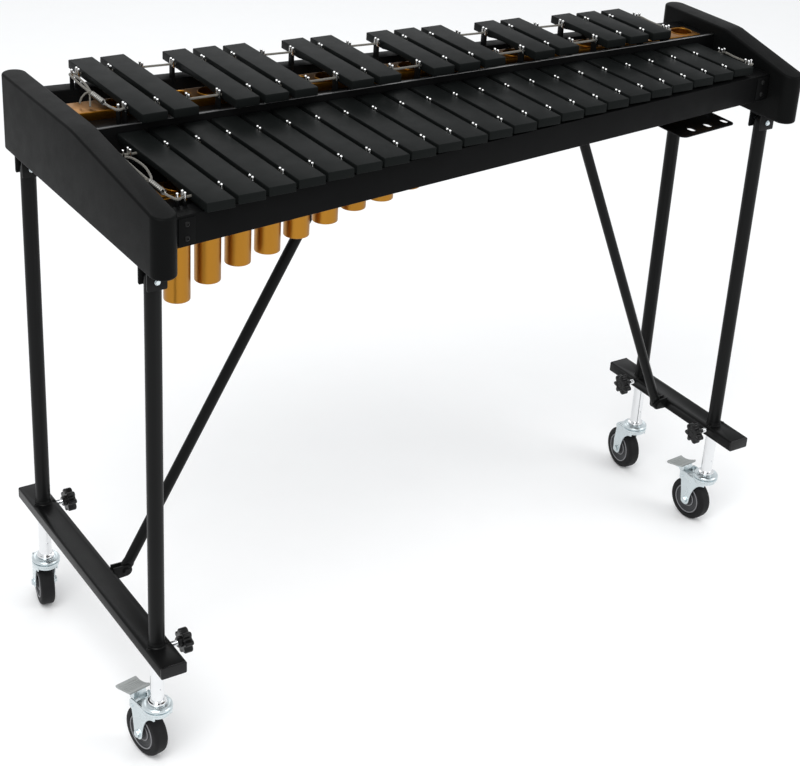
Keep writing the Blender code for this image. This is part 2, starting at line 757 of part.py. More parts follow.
def caster(name, frame, side, y, turn, braked=False):
    """Stem, fork, wheel and, on the player's side, a brake pedal."""
    base = Vector((side * BLOCK_X, y, STEM_BOTTOM))
    stem = node(
        f"stem_{name}",
        rod((0, 0, 0), (0, 0, STEM_TOP - STEM_BOTTOM), STEM_R, 16),
        CHROME,
        base - Vector((side * BLOCK_X, 0, PIVOT_Z)),
        frame,
        join=[rod((0, 0, 0.001), (0, 0, -0.016), KINGPIN_R, 12)],
    )

    def up(z):
        return z - STEM_BOTTOM

    axle = up(WHEEL_R)
    crown = up(RACE_BOTTOM) + 0.001
    back = BRAKE_PIN[0] + 0.006 if braked else 0.033
    cheek = [
        (-0.015, crown),
        (-0.015, crown - 0.005),
        (0.006, crown - 0.014),
        *arc((TRAIL, axle), 0.009, 200, 360, 7),
        (back, crown - 0.016),
        (back, crown),
    ]
    middle = CHEEK_IN + CHEEK / 2
    join = [plate(cheek, CHEEK, YZ, (s * middle, 0, 0)) for s in (-1, 1)]
    join.append(box(-CHEEK_IN - 0.001, CHEEK_IN + 0.001, -0.014, 0.030, crown - 0.0025, crown))
    join.append(rod((-0.019, TRAIL, axle), (0.019, TRAIL, axle), AXLE_R, 12))
    pin_y, pin_z = BRAKE_PIN[0], up(BRAKE_PIN[1])
    if braked:
        join.append(rod((-0.015, pin_y, pin_z), (0.015, pin_y, pin_z), BRAKE_PIN_R, 10))
    fork = node(
        f"fork_{name}",
        rod((0, 0, up(RACE_BOTTOM)), (0, 0, up(RACE_TOP)), RACE_R, 20),
        ZINC,
        (0, 0, 0),
        stem,
        (0, 0, math.radians(turn)),
        join=join,
        cut=[rod((0, 0, -0.02), (0, 0, 0.02), KINGPIN_R + FIT, 12)],
    )

    half, bore = WHEEL_WIDE / 2, AXLE_R + FIT
    section = [
        (bore, half + 0.0008),
        (0.010, half + 0.0008),
        (0.012, half - 0.003),
        (0.024, half - 0.003),
        (0.030, half - 0.001),
        (WHEEL_R, half - 0.007),
    ]
    section += [(r, -z) for r, z in reversed(section)]
    wheel = turned(section, 20)
    wheel.transform(Matrix.Rotation(math.pi / 2, 4, "Y"))
    node(f"wheel_{name}", wheel, TYRE, (0, TRAIL, axle), fork)

    if braked:
        pedal = [
            (-0.0035, -0.004),
            (0.0035, -0.004),
            (0.014, 0.0085),
            (0.0345, 0.0065),
            (0.0345, 0.0095),
            (0.003, 0.0175),
        ]
        arm = plate(pedal, 0.022, YZ)
        slope = [(0.002, 0.0160), (0.036, 0.0080), (0.036, 0.0125), (0.002, 0.0205)]
        tread = plate(slope, 0.034, YZ)
        hole = rod((-0.02, 0, 0), (0.02, 0, 0), BRAKE_PIN_R + FIT, 10)
        eye = rod((-0.011, 0, 0), (0.011, 0, 0), 0.0050, 12)
        node(
            f"brake_{name}",
            arm,
            PEDAL,
            (0, pin_y, pin_z),
            fork,
            join=[tread, eye],
            cut=[hole],
        )

    # The knob's stud runs through the crossbar's inner side to the stem.
    stud_end = STEM_R + 0.0006
    face = BAR_FOOT_WIDE / 2
    out = -side
    reach = face + 0.016
    star = []
    lobes = 7
    for i in range(lobes * 4):
        a = 2 * math.pi * i / (lobes * 4)
        r = 0.0155 + 0.0025 * math.cos(lobes * a)
        star.append((r * math.cos(a), r * math.sin(a)))
    head = plate(star, 0.013, YZ, (out * (reach + 0.0065), 0, 0))
    node(
        f"knob_{name}",
        head,
        KNOB,
        (0, y, KNOB_Z - PIVOT_Z),
        frame,
        join=[
            rod((out * stud_end, 0, 0), (out * (reach + 0.002), 0, 0), BOLT_R, 12),
            rod((out * (reach - 0.005), 0, 0), (out * (reach + 0.002), 0, 0), 0.0075, 12),
        ],
    )


caster("low_front", frame_low, -1, MID_LOW_Y - LEG_LOW_Y, 11, braked=True)
caster("low_rear", frame_low, -1, MID_LOW_Y + LEG_LOW_Y, -11)
caster("high_front", frame_high, 1, MID_HIGH_Y - LEG_HIGH_Y, 5, braked=True)
caster("high_rear", frame_high, 1, MID_HIGH_Y + LEG_HIGH_Y, -5)
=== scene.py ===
"""Looks for the vibraphone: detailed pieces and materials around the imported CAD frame."""

import math

import bmesh
import bpy
from mathutils import Matrix, Vector


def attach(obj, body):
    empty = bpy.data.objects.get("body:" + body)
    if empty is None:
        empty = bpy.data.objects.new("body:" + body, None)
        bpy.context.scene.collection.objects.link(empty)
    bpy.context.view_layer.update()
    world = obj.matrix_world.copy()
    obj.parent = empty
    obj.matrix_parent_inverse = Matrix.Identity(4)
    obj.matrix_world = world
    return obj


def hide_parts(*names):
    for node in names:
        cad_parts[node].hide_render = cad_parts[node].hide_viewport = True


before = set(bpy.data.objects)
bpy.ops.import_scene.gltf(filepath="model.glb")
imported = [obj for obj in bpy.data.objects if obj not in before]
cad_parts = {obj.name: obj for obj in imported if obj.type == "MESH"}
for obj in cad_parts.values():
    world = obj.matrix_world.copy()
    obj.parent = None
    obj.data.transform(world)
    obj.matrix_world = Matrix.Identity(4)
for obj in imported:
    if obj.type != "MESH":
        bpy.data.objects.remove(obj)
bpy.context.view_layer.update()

# ---- dimensions, as in the CAD -----------------------------------------------------------------
PITCH = 0.045
NATURALS = 22
MIDDLE = (NATURALS - 1) / 2
BAR_THICK = 0.012
NATURAL_WIDE = 0.038
ACCIDENTAL_WIDE = 0.036
NATURAL_TOP = 0.8435
ACCIDENTAL_TOP = 0.8747
NATURAL_CORD_Z = NATURAL_TOP - BAR_THICK / 2
ACCIDENTAL_CORD_Z = ACCIDENTAL_TOP - BAR_THICK / 2
BLOCK_X = 12.14 * PITCH
BLOCK_THICK = 0.035
BLOCK_LOW_HALF = 5.54 * PITCH
BLOCK_HIGH_HALF = 3.42 * PITCH
BLOCK_BOTTOM = 0.7577
BLOCK_TOP = 0.8666
BLOCK_NOSE_LOW = 0.8375
BLOCK_NOSE_HIGH = 0.8320
LEG_R = 0.011
LEG_LOW_Y = 0.200
LEG_HIGH_Y = 0.0963
MID_LOW_Y = -0.003
MID_HIGH_Y = 0.006
PIVOT_Z = 0.7432
BAR_FOOT_TOP = 0.1992
BAR_FOOT_THICK = 0.018
BAR_FOOT_WIDE = 0.038
FOOT_LOW_HALF = 0.254
FOOT_HIGH_HALF = 0.161
STEM_BOTTOM = 0.1011
WHEEL_R = 0.0375
TRAIL = 0.025
BRACE_Y = 0.01575
BRACE_TOP_Z = 0.780
BRACE_LOW_TOP_X = -0.1731
BRACE_HIGH_TOP_X = 0.2530
BRACE_FOOT_X = 0.5083
BRACE_FOOT_Z = 0.194
BRACE_R = 0.0080
EYE_WIDE = 0.0088
EYE_THICK = 0.0024
TUBE_R = 0.0175
TUBE_LONGEST = 0.155
BANK_WIDE = 0.043
BANK_LIP = 0.014
NATURAL_BANK_TOP = 0.8176
ACCIDENTAL_BANK_TOP = 0.8486
NATURAL_BANK_END = 21.45
ACCIDENTAL_BANK_END = 21.97
RAIL_HALF = BLOCK_X - BLOCK_THICK / 2 - 0.0003
NATURAL_RAIL_TOP = 0.8280
FASCIA = 0.0290
FASCIA_BOTTOM = 0.7874
INNER_FACE = 0.0211
INNER_TOP = 0.8527
LEDGE_TOP = 0.8400
REAR_RAIL_TOP = 0.8484
END_POST = 0.65  # from the last bar to the post beyond it, in pitches
CORD_R = 0.0016
CORD_HOLE_R = 0.0024
SPRING_R = 0.0034
SPRING_WIRE = 0.0007
SPRING_TURNS = 22
PIN_R = 0.0018
BOLT_R = 0.0040
BOLT_HOLE_R = 0.0043
BRAKE_PIN = (0.038, 0.079)  # behind the swivel axis, and height
STRIP = 0.002
SHARP = 35  # degrees between faces from which an edge stays sharp

NATURAL_NEAR_PINS = (-4.30, 0.111)
NATURAL_FAR_PINS = (-0.90, 0.016)
ACCIDENTAL_NEAR_PINS = (0.813, -0.011)
ACCIDENTAL_FAR_PINS = (4.204, -0.102)
NATURAL_NEAR_ENDS = (-5.30, 0.1345)
NATURAL_FAR_ENDS = (0.40, 0.0)
ACCIDENTAL_NEAR_ENDS = (-0.22, 0.016)
ACCIDENTAL_FAR_ENDS = (5.22, -0.1158)
NATURAL_BANK = (-2.60, 0.0635)
ACCIDENTAL_BANK = (2.50, -0.0530)

SCALE = (0, 2, 4, 5, 7, 9, 11)
NOTES = "CDEFGAB"
GROUPS = ((0, 1), (3, 4, 5), (7, 8), (10, 11, 12), (14, 15), (17, 18, 19))
NATURAL_POSTS = [-END_POST, *(k + 0.5 for k in range(NATURALS - 1)), NATURALS - 1 + END_POST]
ACCIDENTAL_POSTS = [k for group in GROUPS for k in range(group[0], group[-1] + 2)]
NATURAL_PINS = (NATURAL_NEAR_PINS, NATURAL_FAR_PINS)
ACCIDENTAL_PINS = (ACCIDENTAL_NEAR_PINS, ACCIDENTAL_FAR_PINS)
NATURAL_ROW = (NATURAL_PINS, NATURAL_POSTS, NATURAL_TOP, NATURAL_CORD_Z)
ACCIDENTAL_ROW = (ACCIDENTAL_PINS, ACCIDENTAL_POSTS, ACCIDENTAL_TOP, ACCIDENTAL_CORD_Z)


def along(x):
    """World x of a place along the keyboard, counted in bars."""
    return (x - MIDDLE) * PITCH


def on(line, x):
    """World y of a keyboard line at such a place."""
    return (line[0] + line[1] * x) * PITCH


# ---- materials ---------------------------------------------------------------------------------
def blank(name):
    """A new material, with its nodes, links and shader."""
    made = bpy.data.materials.new(name)
    made.use_nodes = True
    nodes = made.node_tree.nodes
    return made, nodes, made.node_tree.links, nodes["Principled BSDF"]


def node(nodes, kind, **values):
    """A new node with some inputs set, their names written with _ for each space."""
    made = nodes.new(f"ShaderNode{kind}")
    for key, value in values.items():
        made.inputs[key.replace("_", " ")].default_value = value
    return made


def look(
    name,
    colour,
    rough,
    metal=0.0,
    spec=0.5,
    mottle=0.15,
    rough_by=0.06,
    grain=0.1,
    grain_scale=1200.0,
    stretch=(1, 1, 1),
    edge_wear_and_highlight=0.0,
):
    """A material with uneven colour and sheen, fine grain and, if asked, paler edges: partly edge
    wear and partly a painted edge highlight.
    """
    made, nodes, links, shader = blank(name)
    shader.inputs["Metallic"].default_value = metal
    shader.inputs["Specular IOR Level"].default_value = spec
    place = node(nodes, "TexCoord")
    lay = node(nodes, "Mapping", Scale=stretch)
    links.new(place.outputs["Object"], lay.inputs["Vector"])

    def noise(scale, detail, source):
        made_noise = node(nodes, "TexNoise", Scale=scale, Detail=detail)
        links.new(source, made_noise.inputs["Vector"])
        return made_noise.outputs["Fac"]

    def ranged(value, low, high, start=0.3, end=0.7):
        made_range = node(nodes, "MapRange", From_Min=start, From_Max=end, To_Min=low, To_Max=high)
        links.new(value, made_range.inputs["Value"])
        return made_range.outputs["Result"]

    def mixed(fac, a, b):
        made_mix = node(nodes, "Mix")
        made_mix.data_type = "RGBA"
        links.new(fac, made_mix.inputs["Factor"])
        for socket, value in ((made_mix.inputs["A"], a), (made_mix.inputs["B"], b)):
            if isinstance(value, tuple):
                socket.default_value = (*value, 1)
            else:
                links.new(value, socket)
        return made_mix.outputs["Result"]

    dark = tuple(c * (1 - mottle) for c in colour)
    light = tuple(min(1.0, c * (1 + mottle)) for c in colour)
    tone = mixed(ranged(noise(14, 5, lay.outputs["Vector"]), 0, 1), dark, light)
    # Paler convex edges: partly edge wear, partly a painted edge highlight.
    if edge_wear_and_highlight:
        geometry = node(nodes, "NewGeometry")
        worn_and_highlit = tuple(min(1.0, c * 2.2 + 0.02) for c in colour)
        edge = ranged(geometry.outputs["Pointiness"], 0, edge_wear_and_highlight, 0.53, 0.60)
        tone = mixed(edge, tone, worn_and_highlit)
    links.new(tone, shader.inputs["Base Color"])
    patches = noise(45, 6, lay.outputs["Vector"])
    links.new(ranged(patches, rough - rough_by, rough + rough_by), shader.inputs["Roughness"])
    if grain:
        bump = node(nodes, "Bump", Strength=grain, Distance=0.0003)
        links.new(noise(grain_scale, 2, lay.outputs["Vector"]), bump.inputs["Height"])
        links.new(bump.outputs["Normal"], shader.inputs["Normal"])
    return made


def braided(name, dark, light):
    """Braided cord: two bands of yarn that cross."""
    made, nodes, links, shader = blank(name)
    shader.inputs["Roughness"].default_value = 0.85
    shader.inputs["Sheen Weight"].default_value = 0.3
    place = node(nodes, "TexCoord")
    bands = []
    for turn in (0.7, -0.7):
        lay = node(nodes, "Mapping", Rotation=(0, 0, turn))
        links.new(place.outputs["Object"], lay.inputs["Vector"])
        wave = node(nodes, "TexWave", Scale=260, Distortion=0.6)
        links.new(lay.outputs["Vector"], wave.inputs["Vector"])
        bands.append(wave.outputs["Fac"])
    both = node(nodes, "Math")
    both.operation = "MULTIPLY"
    for band, socket in zip(bands, both.inputs):
        links.new(band, socket)
    mix = node(nodes, "Mix")
    mix.data_type = "RGBA"
    mix.inputs["A"].default_value = (*dark, 1)
    mix.inputs["B"].default_value = (*light, 1)
    links.new(both.outputs["Value"], mix.inputs["Factor"])
    links.new(mix.outputs["Result"], shader.inputs["Base Color"])
    bump = node(nodes, "Bump", Strength=0.6, Distance=0.0004)
    links.new(both.outputs["Value"], bump.inputs["Height"])
    links.new(bump.outputs["Normal"], shader.inputs["Normal"])
    return made


BAR = look(
    "bar_anodised", (0.0062, 0.0072, 0.0070), 0.42, spec=0.03, mottle=0.05, rough_by=0.03,
    grain=0.06,
)
BLOCK = look(
    "block_textured", (0.0040, 0.0042, 0.0042), 0.40, spec=0.030, mottle=0.08, rough_by=0.03,
    grain=0.45, grain_scale=650, edge_wear_and_highlight=0.12,
)
RAIL = look("rail_powder", (0.0034, 0.0035, 0.0036), 0.42, spec=0.035, grain=0.25, grain_scale=1100)
EDGE = look("rail_edge", (0.16, 0.16, 0.16), 0.35, metal=1.0, mottle=0.1, grain=0.05)
STAND = look(
    "stand_powder", (0.0044, 0.0045, 0.0046), 0.34, spec=0.10, mottle=0.06, rough_by=0.03,
    grain=0.22, grain_scale=900, edge_wear_and_highlight=0.08,
)
GOLD = look(
    "gold_anodised", (0.36, 0.165, 0.022), 0.34, metal=1.0, mottle=0.07, grain=0.12,
    grain_scale=500, stretch=(1, 1, 0.04),
)
# The channel sheet's gold is the tubes' gold painted darker: painted shade for the shadow under the
# bars.
GOLD_SHEET_PAINTED_SHADE = look(
    "gold_sheet_painted_shade", (0.27, 0.115, 0.012), 0.36, metal=1.0, mottle=0.07, grain=0.10,
    grain_scale=500, stretch=(0.04, 1, 1),
)
ZINC = look(
    "zinc_plate", (0.62, 0.68, 0.70), 0.28, metal=1.0, mottle=0.05, grain=0.03, grain_scale=700
)
CHROME = look(
    "chrome_plate", (0.78, 0.79, 0.80), 0.14, metal=1.0, mottle=0.03, rough_by=0.04, grain=0.03
)
NICKEL = look("nickel_pin", (0.86, 0.86, 0.85), 0.22, metal=1.0, mottle=0.04, grain=0.05)
TYRE = look("tyre_rubber", (0.008, 0.008, 0.0085), 0.60, spec=0.15, grain=0.5, grain_scale=900)
HUB = look("hub_plastic", (0.040, 0.041, 0.044), 0.42, spec=0.25, grain=0.2, grain_scale=900)
HUB_RING = look("hub_ring", (0.22, 0.22, 0.23), 0.35, spec=0.5, grain=0.1)
KNOB = look("knob_plastic", (0.0040, 0.0040, 0.0042), 0.26, spec=0.22, grain=0.2, grain_scale=900)
PEDAL = look("pedal_plastic", (0.34, 0.355, 0.35), 0.48, spec=0.3, grain=0.30, grain_scale=1000)
SCREW = look("screw_black", (0.008, 0.008, 0.008), 0.36, spec=0.10, grain=0.1)
SPRING = look("spring_steel", (0.26, 0.255, 0.24), 0.38, metal=1.0, mottle=0.1, grain=0.1)
CORD = braided("cord_braid", (0.08, 0.075, 0.062), (0.25, 0.235, 0.20))


# ---- meshes ------------------------------------------------------------------------------------
def placed(name, data):
    """A new object in the scene."""
    obj = bpy.data.objects.new(name, data)
    bpy.context.scene.collection.objects.link(obj)
    return obj


def finished(bm, matrix=None):
    """The bmesh as a mesh with its normals outwards."""
    if matrix is not None:
        bmesh.ops.transform(bm, matrix=matrix, verts=bm.verts)
    bmesh.ops.recalc_face_normals(bm, faces=bm.faces)
    mesh = bpy.data.meshes.new("shape")
    bm.to_mesh(mesh)
    bm.free()
    return mesh


def shift(x, y, z):
    """A translation."""
    return Matrix.Translation((x, y, z))


def quarter(turns, axis):
    """A rotation by quarter turns."""
    return Matrix.Rotation(turns * math.pi / 2, 4, axis)


def box(x0, x1, y0, y1, z0, z1):
    bm = bmesh.new()
    bmesh.ops.create_cube(bm, size=1)
    size = Matrix.Diagonal((x1 - x0, y1 - y0, z1 - z0, 1))
    return finished(bm, shift((x0 + x1) / 2, (y0 + y1) / 2, (z0 + z1) / 2) @ size)


def to_z(start, end):
    """A frame with its origin at start and its z axis towards end."""
    start, end = Vector(start), Vector(end)
    return Matrix.Translation(start) @ (end - start).to_track_quat("Z", "Y").to_matrix().to_4x4()


def lathe(profile, sides=48, matrix=None):
    """A closed surface turned about z from (radius, z) points; a radius of 0 is a pole."""
    bm = bmesh.new()
    rings = []
    for r, z in profile:
        if r < 1e-7:
            rings.append([bm.verts.new((0, 0, z))])
            continue
        ring = []
        for i in range(sides):
            a = 2 * math.pi * i / sides
            ring.append(bm.verts.new((r * math.cos(a), r * math.sin(a), z)))
        rings.append(ring)
    pairs = list(zip(rings, rings[1:]))
    if len(rings[0]) > 1 and len(rings[-1]) > 1:
        pairs.append((rings[-1], rings[0]))
    for a, b in pairs:
        for i in range(sides):
            j = (i + 1) % sides
            corners = [a[i % len(a)], a[j % len(a)], b[j % len(b)], b[i % len(b)]]
            face = list(dict.fromkeys(corners))
            if len(face) > 2:
                bm.faces.new(face)
    return finished(bm, matrix)


def rod(start, end, radius, sides=32, soft=0.0):
    """A round bar, its ends rounded by soft."""
    length = (Vector(end) - Vector(start)).length
    s = min(soft, radius * 0.999)
    steps = 5 if s else 0
    low, high = [], []
    for i in range(steps + 1):
        a = math.pi / 2 * i / max(steps, 1)
        r = radius - s + s * math.sin(a)
        low.append((r, s - s * math.cos(a)))
        high.append((r, length - s + s * math.cos(a)))
    return lathe([(0, 0), *low, *reversed(high), (0, length)], sides, to_z(start, end))


XY = Matrix.Identity(4)
YZ = Matrix(((0, 0, 1, 0), (1, 0, 0, 0), (0, 1, 0, 0), (0, 0, 0, 1)))
XZ = Matrix(((1, 0, 0, 0), (0, 0, -1, 0), (0, 1, 0, 0), (0, 0, 0, 1)))


def lofted(rings, matrix=None):
    """A closed surface through rings that have the same number of points."""
    bm = bmesh.new()
    loops = [[bm.verts.new(point) for point in ring] for ring in rings]
    bm.faces.new(loops[0])
    bm.faces.new(loops[-1])
    for a, b in zip(loops, loops[1:]):
        for i in range(len(a)):
            j = (i + 1) % len(a)
            bm.faces.new((a[i], a[j], b[j], b[i]))
    return finished(bm, matrix)


def plate(outline, thick, plane=XY, at=(0, 0, 0)):
    """An outline in a plane, given a thickness to both sides of it."""
    faces = [[(u, v, z) for u, v in outline] for z in (-thick / 2, thick / 2)]
    return lofted(faces, Matrix.Translation(at) @ plane)


def arc(centre, radius, start, end, steps):
    """Points along a circle, from one angle to another in degrees."""
    angles = [math.radians(start + (end - start) * i / steps) for i in range(steps + 1)]
    return [(centre[0] + radius * math.cos(a), centre[1] + radius * math.sin(a)) for a in angles]


def mirrored(profile):
    """A profile followed by its mirror image in z = 0."""
    return [*profile, *[(r, -z) for r, z in reversed(profile)]]


def rounded(u0, u1, v0, v1, r, steps=6):
    """A rectangle with round corners."""
    return [
        *arc((u1 - r, v1 - r), r, 0, 90, steps),
        *arc((u0 + r, v1 - r), r, 90, 180, steps),
        *arc((u0 + r, v0 + r), r, 180, 270, steps),
        *arc((u1 - r, v0 + r), r, 270, 360, steps),
    ]


def joined(meshes):
    bm = bmesh.new()
    for mesh in meshes:
        bm.from_mesh(mesh)
    return finished(bm)


def moved(mesh, matrix):
    mesh.transform(matrix)
    return mesh


def worked(mesh, bevel=0.0, segments=2, cut=None, keep=None):
    """The mesh after its Booleans, and then with a bevel along its sharp edges."""
    obj = placed("work", mesh)
    helpers = []
    for operation, other in (("INTERSECT", keep), ("DIFFERENCE", cut)):
        if other is None:
            continue
        helper = placed("helper", other)
        helpers.append(helper)
        step = obj.modifiers.new(operation, "BOOLEAN")
        step.operation = operation
        step.solver = "EXACT"
        step.object = helper
    if bevel:
        step = obj.modifiers.new("edges", "BEVEL")
        step.width = bevel
        step.segments = segments
        step.limit_method = "ANGLE"
        step.angle_limit = math.radians(40)
        step.use_clamp_overlap = True
    graph = bpy.context.evaluated_depsgraph_get()
    made = bpy.data.meshes.new_from_object(obj.evaluated_get(graph))
    for used in (obj, *helpers):
        bpy.data.objects.remove(used)
    return made


def tube(points, radius, sides=2, cyclic=False):
    """A round cord or wire through points."""
    curve = bpy.data.curves.new("route", "CURVE")
    curve.dimensions = "3D"
    curve.bevel_depth = radius
    curve.bevel_resolution = sides
    curve.use_fill_caps = True
    spline = curve.splines.new("POLY")
    spline.points.add(len(points) - 1)
    for point, place in zip(spline.points, points):
        point.co = (*place, 1)
    spline.use_cyclic_u = cyclic
    obj = placed("route", curve)
    graph = bpy.context.evaluated_depsgraph_get()
    mesh = bpy.data.meshes.new_from_object(obj.evaluated_get(graph))
    bpy.data.objects.remove(obj)
    mesh.materials.clear()
    return mesh


def smooth_route(points, steps=8):
    """A Catmull-Rom curve through points."""
    points = [Vector(p) for p in points]
    ends = [2 * points[0] - points[1], *points, 2 * points[-1] - points[-2]]
    route = []
    for a, b, c, d in zip(ends, ends[1:], ends[2:], ends[3:]):
        for i in range(steps):
            t = i / steps
            bend = (2 * a - 5 * b + 4 * c - d) * t * t + (3 * b - a - 3 * c + d) * t * t * t
            route.append(0.5 * (2 * b + (c - a) * t + bend))
    route.append(points[-1])
    return route


def piece(name, mesh, material, body, stands_for=None):
    """A visible piece that rides a body and, where stands_for is set, replaces that CAD node."""
    mesh.materials.clear()
    mesh.materials.append(material)
    mesh.shade_smooth()
    mesh.set_sharp_from_angle(angle=math.radians(SHARP))
    mesh.name = name
    obj = placed(name, mesh)
    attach(obj, body)
    if stands_for:
        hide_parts(stands_for)


def hex_head(across, high, matrix):
    """A hexagon head with a chamfered rim and a washer under it, standing on z = 0."""
    washer = lathe([(0, 0), (across * 0.62, 0), (across * 0.62, 0.0008), (0, 0.0008)], 28)
    corners = [math.pi / 3 * i for i in range(6)]
    rings = []
    for z, scale in ((0.0008, 1.0), (high - 0.0006, 1.0), (high, 0.88)):
        r = across / math.sqrt(3) * scale
        rings.append([(r * math.cos(a), r * math.sin(a), z) for a in corners])
    return moved(joined([washer, lofted(rings)]), matrix)


def button_head(radius, high, matrix):
    """A domed screw head with a hexagon socket."""
    dome = [(radius * math.cos(a), high * math.sin(a)) for a in (0, 0.3, 0.6, 0.9, 1.2)]
    socket = radius * 0.42
    profile = [(0, -0.0005), (radius, -0.0005), *dome, (socket, high * 0.99)]
    profile += [(socket * 0.95, high * 0.35), (0, high * 0.35)]
    return lathe(profile, 24, matrix)


# ---- bars --------------------------------------------------------------------------------------
def bar_piece(name, x, row, ends, wide, stands_for):
    """A bar with eased edges, its tuning arch underneath and the two cord holes through it."""
    pin_lines, _, top, cord_z = row
    near, far = (on(line, x) for line in ends)
    length, centre = far - near, (near + far) / 2
    half, span, steps = length / 2, 0.24 * length, 20
    arch = []
    for i in range(steps + 1):
        u = -1 + 2 * i / steps
        arch.append((u * span, -BAR_THICK + 0.0035 * (1 - u * u)))
    outline = [(-half, 0), (-half, -BAR_THICK), *arch, (half, -BAR_THICK), (half, 0)]
    mesh = plate(outline, wide, YZ, (along(x), centre, top))
    holes = []
    for line in pin_lines:
        hole = [(along(x + s), on(line, x + s), cord_z) for s in (-0.7, 0.7)]
        holes.append(rod(*hole, CORD_HOLE_R, 20))
    mesh = worked(mesh, bevel=0.0011, segments=3)
    piece(name, worked(mesh, cut=joined(holes)), BAR, "frame", stands_for)


natural_ends = (NATURAL_NEAR_ENDS, NATURAL_FAR_ENDS)
for k in range(NATURALS):
    name = f"{NOTES[k % 7]}{5 + k // 7}"
    bar_piece(f"natural_{name}", k, NATURAL_ROW, natural_ends, NATURAL_WIDE, f"bar_{name}")

accidental_ends = (ACCIDENTAL_NEAR_ENDS, ACCIDENTAL_FAR_ENDS)
for group in GROUPS:
    sharps = [f"{NOTES[k % 7]}s{5 + k // 7}" for k in group]
    cad_node = f"bars_{sharps[0]}_{sharps[-1]}"
    for k, sharp in zip(group, sharps):
        name = f"accidental_{sharp}"
        bar_piece(name, k + 0.5, ACCIDENTAL_ROW, accidental_ends, ACCIDENTAL_WIDE, cad_node)


# ---- cords and their springs -------------------------------------------------------------------
def coil(start, end, radius, wire, turns):
    """A tension spring between two points, with a hook at each end."""
    start, end = Vector(start), Vector(end)
    way = (end - start).normalized()
    side = way.cross(Vector((0, 0, 1))).normalized()
    up = side.cross(way)
    length = (end - start).length
    hook = radius * 1.6
    body = length - 2 * hook
    points = []
    for i in range(9):
        a = math.pi * i / 8
        rise = up * (radius * 0.8 * math.sin(a))
        points.append(start + way * (hook * 0.5 * (1 - math.cos(a))) + rise)
    steps = int(turns * 14)
    for i in range(steps + 1):
        a = 2 * math.pi * turns * i / steps
        wave = side * (radius * math.sin(a)) + up * (radius * math.cos(a))
        points.append(start + way * (hook + body * i / steps) + wave)
    for i in range(9):
        a = math.pi * i / 8
        rise = up * (radius * 0.8 * math.sin(a))
        points.append(end - way * (hook * 0.5 * (1 + math.cos(a))) + rise)
    return tube(points, wire, 2)


def cord_set(name, row, spring_y, bulge, stands_for=None):
    """A row's cord: along both post lines, round the high end, and a spring at the low end."""
    (near, far), places, _, z = row
    x0, x1 = places[0], places[-1]
    left, right = along(x0) - 0.0110, along(x1) + 0.0110
    spring_half, sag = 0.0235, 0.0045
    ends = []
    for y, s in ((on(near, x0), -1), (on(far, x0), 1)):
        tip = Vector((left + 0.001, spring_y + s * spring_half, z - sag))
        ends.append(
            (
                tip,
                (left, (tip.y * 2 + y) / 3, z - sag * 0.7),
                (left - 0.0006, y - s * 0.006, z - 0.0006),
                (left + 0.0004, y + s * 0.0015, z),
                (left + 0.0040, y + s * 0.0026, z),
                (along(x0) - 0.002, y, z),
                (along(x0) + 0.002, y, z),
            )
        )
    near_part, far_part = (smooth_route(end, 6) for end in ends)
    near_end = Vector((along(x1) + 0.004, on(near, x1), z))
    far_end = Vector((along(x1) + 0.004, on(far, x1), z))
    bend = smooth_route(
        [
            near_end,
            (right - 0.0040, near_end.y - 0.0026, z),
            (right - 0.0002, near_end.y - 0.0010, z),
            (right + 0.0004, near_end.y + 0.006, z),
            (right, near_end.y + 0.020, z - 0.0006),
            (right, far_end.y - 0.020, z - 0.0006),
            (right + 0.0004, far_end.y - 0.006, z),
            (right - 0.0002, far_end.y + 0.0010, z),
            (right - 0.0040, far_end.y + 0.0026, z),
            far_end,
        ],
        6,
    )
    route = [*near_part, *bend, *reversed(far_part)]
    kept = [route[0]]
    for point in route[1:]:
        if (point - kept[-1]).length > 1e-5:
            kept.append(point)
    piece(f"{name}_cord", tube(kept, CORD_R, 3), CORD, "frame", stands_for)
    spring = coil(ends[0][0], ends[1][0], SPRING_R, SPRING_WIRE, SPRING_TURNS)
    piece(f"{name}_spring", spring, SPRING, "frame")
    # The cord's doubled end and its tails are knotted at the spring's rear hook.
    tip = ends[1][0]
    rear = on(far, x0)
    gap = rear - tip.y
    strand = [
        (left + 0.003, rear - 0.006, z),
        (left + 0.002 + 0.55 * bulge, rear - 0.25 * gap, z + 0.0015),
        (left + 0.002 + 0.80 * bulge, rear - 0.60 * gap, z),
        (left + 0.002 + 0.55 * bulge, tip.y + 0.008, z - sag),
        tip + Vector((0.001, 0.0, 0.0005)),
    ]
    piece(f"{name}_cord_loop", tube(smooth_route(strand, 8), 0.0015, 3), CORD, "frame")
    tails = (
        ((0, 0, 0), (-0.003, -0.003, -0.002), (-0.006, -0.010, -0.009), (-0.008, -0.015, -0.013)),
        ((0, 0, 0), (-0.006, 0.001, 0.001), (-0.014, -0.001, -0.004), (-0.018, -0.003, -0.011)),
    )
    for label, tail in zip("ab", tails):
        rope = tube(smooth_route([tip + Vector(step) for step in tail], 8), 0.0013, 2)
        piece(f"{name}_cord_tail_{label}", rope, CORD, "frame")
    knot = []
    for i in range(33):
        a = 2 * math.pi * i / 32
        u = 0.0021 * (math.sin(a) + 2 * math.sin(2 * a)) / 2
        v = 0.0021 * (math.cos(a) - 2 * math.cos(2 * a)) / 2
        knot.append(tip + Vector((u, v, 0.0016 * math.sin(3 * a))))
    piece(f"{name}_cord_knot", tube(knot, 0.0012, 2, cyclic=True), CORD, "frame")


cord_set("natural", NATURAL_ROW, -3.21 * PITCH, 0.011, "natural_cord")
cord_set("accidental", ACCIDENTAL_ROW, 2.15 * PITCH, 0.002)


# ---- rails and posts ---------------------------------------------------------------------------
def sheared(mesh, line):
    """A mesh along x, laid on a keyboard line."""
    for vertex in mesh.vertices:
        vertex.co.y += on(line, vertex.co.x / PITCH + MIDDLE)
    return mesh


